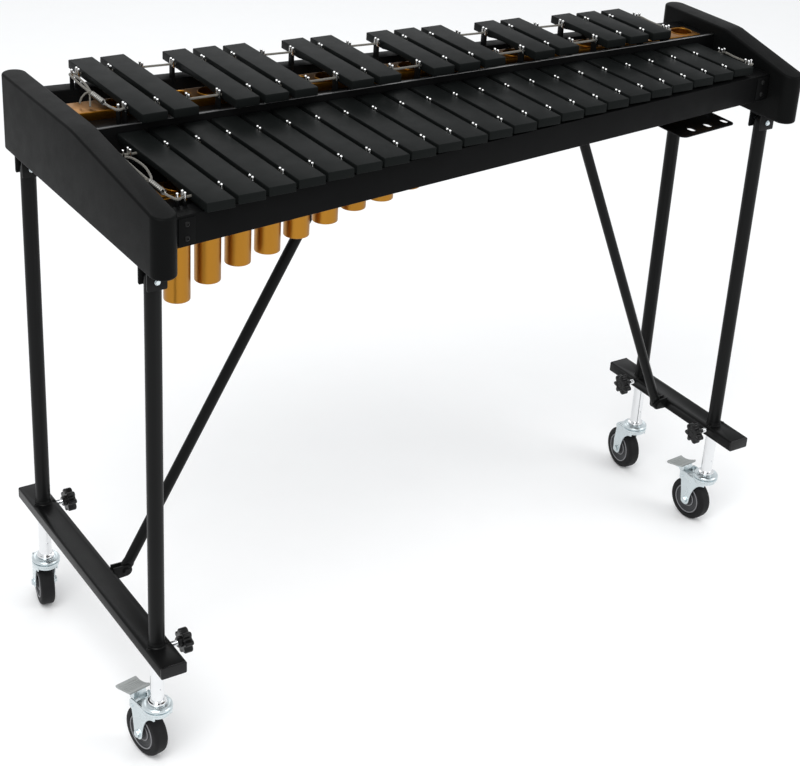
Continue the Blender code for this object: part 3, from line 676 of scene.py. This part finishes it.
def post_set(name, line, row, base):
    """Black uprights that each hold two nickel pins, with the cord lying between the pins."""
    _, places, bar_top, cord_z = row
    top = bar_top + 0.0028
    risers, pins = [], []
    saddle = cord_z - 0.0026
    for x in places:
        px, py = along(x), on(line, x)
        body = rounded(py - 0.0052, py + 0.0052, base, saddle + 0.0006, 0.0012, 3)
        risers.append(plate(body, 0.0040, YZ, (px, 0, 0)))
        for s in (-1, 1):
            y = py + s * 0.0036
            pins.append(rod((px, y, saddle - 0.002), (px, y, top), PIN_R, 16, soft=0.00175))
    # Beyond each end post one more pin turns the cord.
    for x, s in ((places[0], -1), (places[-1], 1)):
        px, py = along(x) + s * 0.0085, on(line, x)
        risers.append(rod((px, py, base), (px, py, saddle), 0.0030, 20))
        pins.append(rod((px, py, saddle - 0.002), (px, py, top - 0.001), PIN_R, 16, soft=0.00175))
    uprights = worked(joined(risers), bevel=0.0004, segments=2)
    piece(f"{name}_posts", uprights, RAIL, "frame")
    piece(f"{name}_pins", joined(pins), NICKEL, "frame")


def rail_piece(name, line, outline, stands_for, bevel=0.0008):
    """A bar of one cross-section, from block to block."""
    bars = sheared(worked(plate(outline, 2 * RAIL_HALF, YZ), bevel=bevel, segments=3), line)
    piece(name, bars, RAIL, "frame", stands_for)


SHEET = 0.0035
rail_piece(
    "front_rail_channel",
    NATURAL_NEAR_PINS,
    [
        (-FASCIA, FASCIA_BOTTOM),
        (-FASCIA + SHEET, FASCIA_BOTTOM),
        (-FASCIA + SHEET, NATURAL_RAIL_TOP - SHEET),
        (-SHEET, NATURAL_RAIL_TOP - SHEET),
        (-SHEET, NATURAL_RAIL_TOP - 0.016),
        (0, NATURAL_RAIL_TOP - 0.016),
        (0, NATURAL_RAIL_TOP),
        (-FASCIA, NATURAL_RAIL_TOP),
    ],
    "front_rail",
    bevel=0.0010,
)
post_set("natural_near", NATURAL_NEAR_PINS, NATURAL_ROW, NATURAL_RAIL_TOP - 0.010)


def rectangle(y0, y1, z0, z1):
    return [(y0, z0), (y1, z0), (y1, z1), (y0, z1)]


rail_piece(
    "natural_far_rail",
    NATURAL_FAR_PINS,
    rectangle(-0.0030, 0.0135, 0.803, NATURAL_RAIL_TOP),
    "natural_inner_rail",
)
post_set("natural_far", NATURAL_FAR_PINS, NATURAL_ROW, NATURAL_RAIL_TOP - 0.008)

rail_piece(
    "accidental_near_rail",
    (0, 0),
    rectangle(INNER_FACE, INNER_FACE + 0.006, 0.791, INNER_TOP),
    "accidental_inner_rail",
)
bright = [(s * (RAIL_HALF - 0.001), INNER_FACE + 0.0012, INNER_TOP - 0.0010) for s in (-1, 1)]
piece("accidental_near_rail_edge", rod(*bright, 0.0013, 16), EDGE, "frame")
ledge = [(x, INNER_FACE + 0.005) for x in (RAIL_HALF, -RAIL_HALF)]
for x in (-RAIL_HALF, RAIL_HALF):
    ledge.append((x, on(ACCIDENTAL_NEAR_PINS, x / PITCH + MIDDLE) + 0.006))
ledge = worked(plate(ledge, 0.006, XY, (0, 0, LEDGE_TOP - 0.003)), bevel=0.0008, segments=2)
piece("accidental_near_ledge", ledge, RAIL, "frame")
post_set("accidental_near", ACCIDENTAL_NEAR_PINS, ACCIDENTAL_ROW, LEDGE_TOP - 0.003)

# Black strips and a black corner sheet close the gaps beside the gold channels: painted shade, dark
# sheets put where there is only shadow.
beside = BANK_WIDE / 2 + 0.0004
for name, start, start_off, end, end_off, z in (
    ("natural_shade_strip", NATURAL_FAR_PINS, -0.0028, NATURAL_BANK, beside, 0.807),
    ("accidental_shade_strip", ACCIDENTAL_NEAR_PINS, 0.0062, ACCIDENTAL_BANK, -beside, 0.836),
):
    outline = [(x, on(start, x / PITCH + MIDDLE) + start_off) for x in (-RAIL_HALF, RAIL_HALF)]
    outline += [(x, on(end, x / PITCH + MIDDLE) + end_off) for x in (RAIL_HALF, -RAIL_HALF)]
    strip = worked(plate(outline, STRIP, XY, (0, 0, z)), bevel=0.0004)
    piece(name, strip, RAIL, "frame")
# A dark sheet in the low end's front corner: painted shade where only shadow falls.
corner_shade_sheet = box(-RAIL_HALF, -0.471, -0.1955, -0.1430, 0.8122, 0.8142)
piece("front_corner_shade_sheet", worked(corner_shade_sheet, bevel=0.0004), RAIL, "frame")

rail_piece(
    "accidental_far_rail",
    ACCIDENTAL_FAR_PINS,
    rectangle(-0.0036, 0.0225, REAR_RAIL_TOP - 0.032, REAR_RAIL_TOP),
    "rear_rail",
    bevel=0.0014,
)
post_set("accidental_far", ACCIDENTAL_FAR_PINS, ACCIDENTAL_ROW, REAR_RAIL_TOP - 0.005)


# The angle brackets that hold the front rail to the end blocks, with two button-head screws each.
brackets, screws = [], []
for side in (-1, 1):
    x = side * (RAIL_HALF - 0.016)
    y = on(NATURAL_NEAR_PINS, x / PITCH + MIDDLE) - FASCIA
    slope = math.atan(NATURAL_NEAR_PINS[1])
    turn = shift(x, y - 0.0006, 0) @ Matrix.Rotation(slope, 4, "Z")
    outline = rounded(-0.012, 0.012, FASCIA_BOTTOM + 0.003, NATURAL_RAIL_TOP - 0.003, 0.002, 4)
    brackets.append(moved(plate(outline, 0.0016, XZ), turn))
    for z in (FASCIA_BOTTOM + 0.011, NATURAL_RAIL_TOP - 0.011):
        spot = turn @ shift(0, -0.0008, z) @ quarter(1, "X")
        screws.append(button_head(0.0038, 0.0020, spot))
piece("rail_brackets", worked(joined(brackets), bevel=0.0004), RAIL, "frame")
piece("rail_screws", joined(screws), SCREW, "frame")


# ---- resonators --------------------------------------------------------------------------------
def channel(centre, half, wall, low, high):
    """The outline of a channel that is open below."""
    return [
        (centre - half, low),
        (centre - half + wall, low),
        (centre - half + wall, high - wall),
        (centre + half - wall, high - wall),
        (centre + half - wall, low),
        (centre + half, low),
        (centre + half, high),
        (centre - half, high),
    ]


def bank(name, line, top, right_end, sharp):
    """A channel with its tubes, each a quarter wavelength long for its note."""
    half, lip, wall = BANK_WIDE / 2, BANK_LIP, 0.0016
    shells, holes = [], []
    for k in range(NATURALS):
        semitones = SCALE[k % 7] + 12 * (k // 7) + sharp
        cx, cy = along(k + sharp / 2), on(line, k + sharp / 2)
        length = TUBE_LONGEST * 2 ** (-semitones / 12)
        r, w = TUBE_R, 0.0013
        profile = [(0, -length)]
        for a in (0, 0.4, 0.8, 1.2, math.pi / 2):
            turned = (r - 0.0012 + 0.0012 * math.sin(a), -length + 0.0012 - 0.0012 * math.cos(a))
            profile.append(turned)
        profile += [(r, 0.0006), (r - 0.0004, 0.0010), (r - w + 0.0003, 0.0010), (r - w, 0.0006)]
        profile += [(r - w, -length + 0.002), (0, -length + 0.002)]
        shells.append(lathe(profile, 56, shift(cx, cy, top)))
        holes.append(rod((cx, cy, top - 0.01), (cx, cy, top + 0.01), r - 0.0003, 56))
    section = channel(0, half, wall, top - lip, top)
    start, end = -RAIL_HALF, along(right_end)
    sheet = plate(section, end - start, YZ, ((start + end) / 2, 0, 0))
    sheet = sheared(worked(sheet, bevel=0.0009, segments=3), line)
    sheet = worked(sheet, cut=joined(holes))
    hanger = plate(section, RAIL_HALF - end - 0.0004, YZ, ((RAIL_HALF + end) / 2, 0, 0))
    piece(f"{name}_hanger", sheared(worked(hanger, bevel=0.0009), line), RAIL, "frame")
    # The channel's darker gold is painted shade.
    piece(f"{name}_channel", sheet, GOLD_SHEET_PAINTED_SHADE, "frame", f"{name}_resonators")
    piece(f"{name}_tubes", joined(shells), GOLD, "frame")


bank("natural", NATURAL_BANK, NATURAL_BANK_TOP, NATURAL_BANK_END, 0)
bank("accidental", ACCIDENTAL_BANK, ACCIDENTAL_BANK_TOP, ACCIDENTAL_BANK_END, 1)


# ---- accessory plate ---------------------------------------------------------------------------
PLATE_TOP = 0.757
PLATE_THICK = 0.002
PLATE_FRONT = (-4.78, 0.108)
PLATE_REAR = -0.0255
PLATE_SPAN = (18.35, 20.95)
px0, px1 = (along(x) for x in PLATE_SPAN)
front0, front1 = (on(PLATE_FRONT, x) for x in PLATE_SPAN)
outline = [
    (px0, PLATE_REAR),
    *arc((px0 + 0.010, front0 + 0.010), 0.010, 180, 275, 10),
    *arc((px1 - 0.010, front1 + 0.010), 0.010, 280, 360, 10),
    (px1, PLATE_REAR),
]
slots = []
for x in (19.15, 19.94, 20.75):
    front = on(PLATE_FRONT, x) + 0.009
    slot = [
        *arc((along(x), front + 0.0065), 0.0052, 180, 360, 12),
        *arc((along(x), front + 0.0125), 0.0052, 0, 180, 12),
    ]
    slots.append(plate(slot, 0.02, XY, (0, 0, PLATE_TOP)))
sheet = plate(outline, PLATE_THICK, XY, (0, 0, PLATE_TOP - PLATE_THICK / 2))
sheet = worked(sheet, bevel=0.0005, segments=2)
sheet = worked(sheet, cut=joined(slots))
piece("slotted_plate", sheet, STAND, "frame", "accessory_plate")
web = box(px0 + 0.01, px1 - 0.01, -0.0275, -0.0258, PLATE_TOP - PLATE_THICK, 0.8027)
web = worked(web, bevel=0.0005, segments=2)
piece("slotted_plate_web", web, STAND, "frame")


# ---- end blocks and leg brackets ---------------------------------------------------------------
def end_block(name, side, half, nose, mid, leg_y):
    """A block with round ends and a falling front, and the two leg brackets bolted under it."""
    x = side * BLOCK_X
    profile = [(-half, BLOCK_BOTTOM), (half, BLOCK_BOTTOM), (half, BLOCK_TOP)]
    profile += [(0.012, BLOCK_TOP), (0.004, BLOCK_TOP - 0.0002), (-0.004, BLOCK_TOP - 0.0008)]
    slope = (BLOCK_TOP - nose) / half
    profile += [(-0.012, BLOCK_TOP - 0.012 * slope), (-half, nose)]
    r = BLOCK_THICK / 2 - 0.0002
    plan = [*arc((0, half - r), r, 0, 180, 40), *arc((0, -half + r), r, 180, 360, 40)]
    body = worked(plate(profile, BLOCK_THICK + 0.01, YZ), keep=plate(plan, 0.3, XY, (0, 0, 0.8)))
    body = moved(worked(body, bevel=0.0034, segments=5), shift(x, 0, 0))
    piece(f"{name}_body", body, BLOCK, "frame", name)
    channels, bolts = [], []
    for y in (mid - leg_y, mid + leg_y):
        h, w = 0.0135, 0.0022
        low, high = BLOCK_BOTTOM - 0.028, BLOCK_BOTTOM
        body = plate(channel(y, h, w, low + 0.002, high), 2 * h, YZ, (x, 0, 0))
        # Rounded lower corners, seen from the front.
        shape = [(-h, high + 0.01), (-h, low + 0.005)]
        shape += arc((-h + 0.005, low + 0.005), 0.005, 180, 270, 5)
        shape += [*arc((h - 0.005, low + 0.005), 0.005, 270, 360, 5), (h, high + 0.01)]
        body = worked(body, keep=plate(shape, 0.06, XZ, (x, y, 0)))
        channels.append(worked(body, bevel=0.0005, segments=2))
        for s in (-1, 1):
            face = shift(x, y + s * h, PIVOT_Z)
            bolts.append(hex_head(0.0060, 0.0028, face @ quarter(-s, "X")))
        bolts.append(rod((x, y - h - 0.001, PIVOT_Z), (x, y + h + 0.001, PIVOT_Z), BOLT_R, 24))
    piece(f"{name}_brackets", joined(channels), STAND, "frame")
    piece(f"{name}_bolts", joined(bolts), ZINC, "frame")


end_block("end_block_low", -1, BLOCK_LOW_HALF, BLOCK_NOSE_LOW, MID_LOW_Y, LEG_LOW_Y)
end_block("end_block_high", 1, BLOCK_HIGH_HALF, BLOCK_NOSE_HIGH, MID_HIGH_Y, LEG_HIGH_Y)


# ---- leg frames --------------------------------------------------------------------------------
def leg_frame(name, body, side, mid, leg_y, foot_half):
    """Two legs on a crossbar, with what is fixed to them."""
    x = side * BLOCK_X
    top, bottom = BAR_FOOT_TOP, BAR_FOOT_TOP - BAR_FOOT_THICK
    wide = BAR_FOOT_WIDE / 2
    tubes, caps, screws = [], [], []
    for y in (mid - leg_y, mid + leg_y):
        w = LEG_R - 0.0012
        profile = [(w, top + 0.001), (LEG_R, top + 0.001), (LEG_R, PIVOT_Z - 0.004)]
        for i in range(1, 7):
            a = math.pi / 2 * i / 6
            profile.append((LEG_R * math.cos(a * 0.86), PIVOT_Z - 0.004 + 0.0135 * math.sin(a)))
        profile += [(0, PIVOT_Z + 0.0096), (0, PIVOT_Z + 0.006), (w, PIVOT_Z - 0.010)]
        leg = lathe(profile, 48, shift(x, y, 0))
        hole = rod((x, y - 0.03, PIVOT_Z), (x, y + 0.03, PIVOT_Z), BOLT_HOLE_R, 24)
        tubes.append(worked(leg, cut=hole))
        ring = [(LEG_R + 0.0001, top), (LEG_R + 0.0022, top), (LEG_R + 0.0010, top + 0.0010)]
        ring += [(LEG_R + 0.0001, top + 0.0052)]
        caps.append(lathe(ring, 48, shift(x, y, 0)))
        for sx in (-1, 1):
            spot = shift(x + sx * 0.0148, y - 0.0060, top)
            screws.append(button_head(0.0030, 0.0018, spot))
    piece(f"{name}_tubes", joined(tubes), STAND, body, name)
    piece(f"{name}_welds", joined(caps), STAND, body)
    piece(f"{name}_foot_screws", joined(screws), SCREW, body)

    # The crossbar is a box tube with a plastic plug in each end.
    outline = rounded(-wide, wide, bottom, top, 0.0025, 5)
    bar = plate(outline, 2 * foot_half - 0.006, XZ, (x, mid, 0))
    cuts = []
    for y in (mid - leg_y, mid + leg_y):
        cuts.append(rod((x, y, bottom - 0.01), (x, y, top + 0.01), 0.0098, 40))
        z = (top + bottom) / 2
        cuts.append(rod((x - side * 0.012, y, z), (x - side * 0.03, y, z), 0.0046, 24))
    bar = worked(bar, cut=joined(cuts))
    piece(f"{name}_crossbar", worked(bar, bevel=0.0004, segments=2), STAND, body)
    plugs = []
    for s in (-1, 1):
        plug = plate(outline, 0.0030, XZ, (x, mid + s * (foot_half - 0.0015), 0))
        plugs.append(worked(plug, bevel=0.0009, segments=3))
    piece(f"{name}_plugs", joined(plugs), KNOB, body)
    glides = []
    for y in (mid - leg_y, mid + leg_y):
        ring = [(0.0098, bottom), (0.0135, bottom), (0.0131, bottom - 0.0016)]
        ring += [(0.0125, bottom - 0.0022), (0.0101, bottom - 0.0022), (0.0098, bottom - 0.0018)]
        glides.append(lathe(ring, 40, shift(x, y, 0)))
    piece(f"{name}_bushes", joined(glides), KNOB, body)

    # The clevis for the brace's lower end.
    ears, bolts = [], []
    foot_x = side * BRACE_FOOT_X
    inner = x - side * wide
    for s in (-1, 1):
        y = side * BRACE_Y + s * 0.005
        start, end = (90, -90) if side < 0 else (90, 270)
        root = inner + side * 0.001
        shape = [(root, BRACE_FOOT_Z - 0.010), (root, BRACE_FOOT_Z + 0.0095)]
        shape += arc((foot_x, BRACE_FOOT_Z), 0.009, start, end, 16)
        ears.append(worked(plate(shape, 0.003, XZ, (0, y, 0)), bevel=0.0006))
        spin = quarter(-s, "X")
        face = shift(foot_x, y + s * 0.0015, BRACE_FOOT_Z)
        bolts.append(hex_head(0.010, 0.0042, face @ spin))
    piece(f"{name}_clevis", joined(ears), STAND, body)
    piece(f"{name}_clevis_bolts", joined(bolts), SCREW, body)


leg_frame("leg_frame_low", "stand_low", -1, MID_LOW_Y, LEG_LOW_Y, FOOT_LOW_HALF)
leg_frame("leg_frame_high", "stand_high", 1, MID_HIGH_Y, LEG_HIGH_Y, FOOT_HIGH_HALF)


# ---- braces ------------------------------------------------------------------------------------
def brace(name, side, top_x):
    """A tube whose ends are pressed flat into eyes, lofted from ellipse to ellipse."""
    run, drop = side * BRACE_FOOT_X - top_x, BRACE_TOP_Z - BRACE_FOOT_Z
    length = math.hypot(run, drop)
    lay = shift(top_x, side * BRACE_Y, BRACE_TOP_Z)
    lay @= Matrix.Rotation(-math.atan2(run, drop), 4, "Y")
    stations = []
    for t in (0.0, 0.0015, 0.004, 0.007, 0.010, 0.014, 0.019, 0.024, 0.030):
        along_eye = min(1.0, max(0.0, (t - 0.010) / 0.018))
        ease = along_eye * along_eye * (3 - 2 * along_eye)
        wide = EYE_WIDE + (BRACE_R - EYE_WIDE) * ease
        thick = EYE_THICK + (BRACE_R - EYE_THICK) * ease
        if t < EYE_WIDE:
            wide *= math.sqrt(max(0.02, 1 - (1 - t / EYE_WIDE) ** 2))
        stations.append((EYE_WIDE - t, wide, thick))
    stations += [(-length - z, wide, thick) for z, wide, thick in reversed(stations)]
    rings = []
    for z, wide, thick in stations:
        power = 2 / (2.0 if thick > 0.006 else 5.0)
        ring = []
        for i in range(32):
            a = 2 * math.pi * i / 32
            c, s = math.cos(a), math.sin(a)
            u = math.copysign(abs(c) ** power, c) * wide
            v = math.copysign(abs(s) ** power, s) * thick
            ring.append((u, v, z))
        rings.append(ring)
    mesh = lofted(rings)
    holes = [rod((0, -0.02, z), (0, 0.02, z), BOLT_HOLE_R, 24) for z in (0, -length)]
    mesh = moved(worked(mesh, cut=joined(holes)), lay)
    piece(f"{name}_tube", mesh, STAND, name, name)


brace("brace_low", -1, BRACE_LOW_TOP_X)
brace("brace_high", 1, BRACE_HIGH_TOP_X)

for side, top_x, label in ((-1, BRACE_LOW_TOP_X, "low"), (1, BRACE_HIGH_TOP_X, "high")):
    y = side * BRACE_Y
    outer, inner = y + side * 0.0145, y + side * 0.0105
    upper = 0.8035 if side < 0 else 0.7915
    shape = [(top_x - 0.010, upper), *arc((top_x, BRACE_TOP_Z), 0.010, 180, 360, 16)]
    shape.append((top_x + 0.010, upper))
    ear = worked(plate(shape, 0.004, XZ, (0, (outer + inner) / 2, 0)), bevel=0.0006)
    piece(f"brace_ear_{label}", ear, STAND, "frame")
    start, end = (top_x, outer, BRACE_TOP_Z), (top_x, y - side * 0.006, BRACE_TOP_Z)
    pin = rod(start, end, BOLT_R, 24, soft=0.0006)
    spin = quarter(-side, "X")
    nut = hex_head(0.010, 0.0040, shift(top_x, outer, BRACE_TOP_Z) @ spin)
    clip = [(0.0038, 0), (0.0062, 0), (0.0062, 0.0008), (0.0038, 0.0008)]
    at_clip = shift(top_x, y - side * 0.0045, BRACE_TOP_Z)
    clip = lathe(clip, 24, at_clip @ quarter(1, "X"))
    piece(f"brace_pin_{label}", joined([pin, nut, clip]), ZINC, "frame")


# ---- casters -----------------------------------------------------------------------------------
RACE_TOP = STEM_BOTTOM - 0.0005
RACE_BOTTOM = RACE_TOP - 0.012
CROWN = RACE_BOTTOM + 0.001
CHEEK_MIDDLE = 0.01475
CHEEK_THICK = 0.0023
KNOB_REACH = 0.035
KNOB_LOBES = 7


def caster_stem(name, x, y):
    """The chromed stem, with its collar and a dimple for the clamp knob."""
    profile = [
        (0, 0.360), (0.0085, 0.360), (0.0095, 0.359), (0.0095, 0.1072),
        (0.0100, 0.1068), (0.0104, 0.1056), (0.0128, 0.1050), (0.0134, 0.1040),
        (0.0134, 0.1024), (0.0126, 0.1012), (0.0052, 0.1011), (0.0047, 0.1005),
        (0.0047, 0.0856), (0, 0.0856),
    ]
    stem = lathe(profile, 48, shift(x, y, 0))
    dimple = rod((x, y - 0.0085, 0.128), (x, y - 0.012, 0.128), 0.0013, 16)
    stem = worked(stem, cut=dimple)
    piece(f"stem_{name}_rod", stem, CHROME, f"stem_{name}", f"stem_{name}")


def caster_fork(name, lay, braked):
    """The double ball race, a domed cup over a lower one, and the fork with its axle."""
    race = [
        (0.0055, 0.1004), (0.0138, 0.1006), (0.0156, 0.0996), (0.0182, 0.1001),
        (0.0203, 0.0990), (0.0213, 0.0976), (0.0214, 0.0962), (0.0206, 0.0952),
        (0.0192, 0.0948), (0.0192, 0.0940), (0.0208, 0.0936), (0.0214, 0.0925),
        (0.0213, 0.0910), (0.0205, 0.0896), (0.0196, 0.0888), (0.0194, 0.0862),
        (0.0186, 0.0848), (0.0060, 0.0848),
    ]
    ball_race = lathe(race, 56, lay)

    back = 0.044 if braked else 0.034
    outline = [(-0.0125, CROWN), (-0.0135, CROWN - 0.004)]
    for i in range(13):
        t = i / 12
        a = Vector((-0.0130, CROWN - 0.008))
        b = Vector((0.012, CROWN - 0.012))
        c = Vector((TRAIL - 0.0088, WHEEL_R - 0.001))
        p = a * (1 - t) ** 2 + b * 2 * t * (1 - t) + c * t * t
        outline.append((p.x, p.y))
    outline += arc((TRAIL, WHEEL_R), 0.009, 195, 352, 14)
    if braked:
        outline += [(TRAIL + 0.0105, WHEEL_R + 0.012), (back - 0.005, CROWN - 0.018)]
        outline += [*arc((back - 0.004, CROWN - 0.013), 0.004, 290, 360, 5), (back, CROWN - 0.004)]
        outline += [(back - 0.003, CROWN)]
    else:
        outline += [
            (TRAIL + 0.0100, WHEEL_R + 0.014),
            (back - 0.002, CROWN - 0.014),
            (back, CROWN - 0.006),
            (back - 0.004, CROWN),
        ]
    cheeks = []
    for s in (-1, 1):
        cheek = plate(outline, CHEEK_THICK, YZ, (s * CHEEK_MIDDLE, 0, 0))
        cheeks.append(worked(cheek, bevel=0.0007, segments=3))
    top = rounded(-0.0159, 0.0159, -0.0125, 0.030, 0.004, 5)
    top = plate(top, 0.0024, XY, (0, 0, CROWN - 0.0012))
    cheeks.append(worked(top, bevel=0.0006))
    heads = []
    for s in (-1, 1):
        face = shift(s * 0.0159, TRAIL, WHEEL_R) @ quarter(s, "Y")
        heads.append(hex_head(0.0095, 0.0036, face))
    heads.append(rod((-0.0160, TRAIL, WHEEL_R), (0.0160, TRAIL, WHEEL_R), 0.0039, 24))
    if braked:
        heads.append(rod((-0.0172, *BRAKE_PIN), (0.0172, *BRAKE_PIN), 0.0025, 20, soft=0.0008))
    fork = moved(joined([*cheeks, *heads]), lay)
    piece(f"fork_{name}_cheeks", fork, ZINC, f"fork_{name}", f"fork_{name}")
    piece(f"fork_{name}_race", ball_race, ZINC, f"fork_{name}")


def caster_wheel(name, lay):
    """The tyre, and the hub with two raised rings on each face."""
    to_x = lay @ shift(0, TRAIL, WHEEL_R) @ quarter(1, "Y")
    tread = []
    for i in range(9):
        a = math.pi / 2 * i / 8
        wide = 0.0110 - 0.0045 * (1 - math.cos(a)) * 1.2
        tread.append((WHEEL_R - 0.0055 + 0.0055 * math.sin(a), wide))
    tread = [(0.0265, 0.0098), (0.0270, 0.0110), (0.0300, 0.0114), *tread]
    tread.append((WHEEL_R, 0.0025))
    tyre = lathe(mirrored(tread), 64, to_x)
    piece(f"wheel_{name}_tyre", tyre, TYRE, f"wheel_{name}", f"wheel_{name}")
    face = [
        (0.0043, 0.0128), (0.0082, 0.0128), (0.0090, 0.0122), (0.0094, 0.0095),
        (0.0125, 0.0088), (0.0135, 0.0078), (0.0195, 0.0078), (0.0205, 0.0088),
        (0.0232, 0.0092), (0.0238, 0.0104), (0.0258, 0.0104), (0.0266, 0.0094),
    ]
    piece(f"wheel_{name}_hub", lathe(mirrored(face), 56, to_x), HUB, f"wheel_{name}")
    rings = []
    for s in (-1, 1):
        for r, z in ((0.0248, 0.0106), (0.0130, 0.0088)):
            corners = [math.pi * i / 4 for i in range(8)]
            ring = [(r + 0.0009 * math.cos(a), s * z + 0.0009 * math.sin(a)) for a in corners]
            rings.append(lathe(ring, 56, to_x))
    piece(f"wheel_{name}_rings", joined(rings), HUB_RING, f"wheel_{name}")


def caster_brake(name, lay):
    """The brake's arm, and its ribbed pedal."""
    place = lay @ shift(0, *BRAKE_PIN)
    arm = [
        (-0.0032, -0.0042), (0.0036, -0.0042), (0.0145, 0.0080), (0.0345, 0.0062),
        (0.0345, 0.0082), (0.0032, 0.0162),
    ]
    arm_mesh = worked(plate(arm, 0.021, YZ), bevel=0.0007)
    arm_mesh = worked(arm_mesh, cut=rod((-0.02, 0, 0), (0.02, 0, 0), 0.0028, 20))
    body = f"brake_{name}"
    piece(f"{body}_arm", moved(arm_mesh, place), ZINC, body, body)
    slab = [
        (0.0020, 0.0166), (0.0340, 0.0084), (0.0366, 0.0086), (0.0376, 0.0100),
        (0.0372, 0.0124), (0.0350, 0.0136), (0.0310, 0.0126), (0.0250, 0.0126),
        (0.0180, 0.0142), (0.0110, 0.0168), (0.0060, 0.0196), (0.0030, 0.0216),
        (0.0014, 0.0208),
    ]
    pad = [worked(plate(slab, 0.034, YZ), bevel=0.0012, segments=3)]
    ribs = [(0.0080, 0.0183), (0.0125, 0.0161), (0.0170, 0.0145)]
    ribs += [(0.0215, 0.0134), (0.0260, 0.0126), (0.0305, 0.0126)]
    for rib, high in ribs:
        pad.append(rod((-0.0150, rib, high), (0.0150, rib, high), 0.0010, 10, soft=0.0008))
    piece(f"{body}_pad", moved(joined(pad), place), PEDAL, body)


def clamp_knob(name, x, y, side):
    """A knob with round lobes on a threaded stud, its thread drawn as a stack of small ridges."""
    z = BAR_FOOT_TOP - BAR_FOOT_THICK / 2
    inwards = shift(x, y, z) @ quarter(-side, "Y")
    reach = KNOB_REACH
    angles = [2 * math.pi * i / 112 for i in range(112)]
    rings = []
    for h, scale in ((0.0, 0.93), (0.0012, 1.0), (0.0110, 1.0), (0.0126, 0.95), (0.0134, 0.86)):
        ring = []
        for a in angles:
            wave = math.cos(KNOB_LOBES * a)
            r = (0.0152 + 0.0028 * math.copysign(abs(wave) ** 0.75, wave)) * scale
            ring.append((r * math.cos(a), r * math.sin(a), reach + h))
        rings.append(ring)
    for h, r in ((0.0134, 0.0090), (0.0122, 0.0078), (0.0122, 0.0045), (0.0130, 0.0035)):
        rings.append([(r * math.cos(a), r * math.sin(a), reach + h) for a in angles])
    star = lofted(rings)
    boss = [(0, reach - 0.0050), (0.0066, reach - 0.0050), (0.0075, reach - 0.0042)]
    boss = lathe([*boss, (0.0080, reach + 0.0005), (0, reach + 0.0005)], 32)
    star = moved(joined([star, boss]), inwards)
    piece(f"knob_{name}_star", star, KNOB, f"knob_{name}", f"knob_{name}")
    stud = [(0, 0.0102), (0.0034, 0.0102)]
    at = 0.0115
    while at < reach - 0.0055:
        stud += [(0.0040, at), (0.0036, at + 0.0004)]
        at += 0.0008
    stud += [(0.0038, reach - 0.0048), (0, reach - 0.0048)]
    piece(f"knob_{name}_stud", lathe(stud, 24, inwards), CHROME, f"knob_{name}")


def caster(name, side, y, turn, braked=False):
    """A caster that trails rearwards, turned by some degrees, and the knob that clamps its stem."""
    x = side * BLOCK_X
    lay = shift(x, y, 0) @ Matrix.Rotation(math.radians(turn), 4, "Z")
    caster_stem(name, x, y)
    caster_fork(name, lay, braked)
    caster_wheel(name, lay)
    if braked:
        caster_brake(name, lay)
    clamp_knob(name, x, y, side)


caster("low_front", -1, MID_LOW_Y - LEG_LOW_Y, 11, braked=True)
caster("low_rear", -1, MID_LOW_Y + LEG_LOW_Y, -11)
caster("high_front", 1, MID_HIGH_Y - LEG_HIGH_Y, 5, braked=True)
caster("high_rear", 1, MID_HIGH_Y + LEG_HIGH_Y, -5)


# ---- floor, light and camera -------------------------------------------------------------------
floor_mesh = plate([(-14, -14), (14, -14), (14, 14), (-14, 14)], 0.02, XY, (0, 0, -0.0102))
floor = placed("floor", floor_mesh)
pale = look(
    "floor_pale", (0.95, 0.95, 0.95), 0.85, spec=0.1, mottle=0.004, grain=0.02, grain_scale=60
)
floor_mesh.materials.append(pale)

world = bpy.data.worlds.new("studio")
world.use_nodes = True
world.node_tree.nodes["Background"].inputs["Color"].default_value = (0.97, 0.985, 1.0, 1)
world.node_tree.nodes["Background"].inputs["Strength"].default_value = 0.86
bpy.context.scene.world = world


def softbox(name, place, aim, size, power):
    """A rectangular light that faces aim."""
    data = bpy.data.lights.new(name, "AREA")
    data.shape = "RECTANGLE"
    data.size, data.size_y = size
    data.energy = power
    obj = placed(name, data)
    away = Vector(place) - Vector(aim)
    obj.matrix_world = Matrix.Translation(place) @ away.to_track_quat("Z", "Y").to_matrix().to_4x4()


softbox("key", (-1.6, -1.4, 3.2), (0.1, 0.0, 0.7), (1.8, 1.8), 56)
softbox("fill", (2.6, -2.6, 2.2), (0.0, 0.0, 0.5), (2.2, 1.6), 33)
softbox("back", (0.8, 2.8, 2.6), (0.0, 0.0, 0.7), (2.4, 1.2), 12)

AZIMUTH = math.radians(33.296)  # the camera looks this far from +Y towards +X
ELEVATION = math.radians(27.0595)
ROLL = math.radians(3.2006)
flat = math.cos(ELEVATION)
ahead = Vector((flat * math.sin(AZIMUTH), flat * math.cos(AZIMUTH), -math.sin(ELEVATION)))
level = ahead.cross(Vector((0, 0, 1))).normalized()
overhead = level.cross(ahead)
right = level * math.cos(ROLL) + overhead * math.sin(ROLL)
up = overhead * math.cos(ROLL) - level * math.sin(ROLL)
camera_data = bpy.data.cameras.new("camera")
camera_data.lens = 78.203
camera_data.sensor_width = 36
camera_data.shift_x = 0.02244
camera_data.shift_y = -0.05393
camera_data.clip_end = 60
camera = placed("camera", camera_data)
turn = Matrix((right, up, -ahead)).transposed().to_4x4()
camera.matrix_world = shift(-1.3498, -1.9366, 1.6423) @ turn
bpy.context.scene.camera = camera
bpy.context.scene.view_settings.view_transform = "Standard"
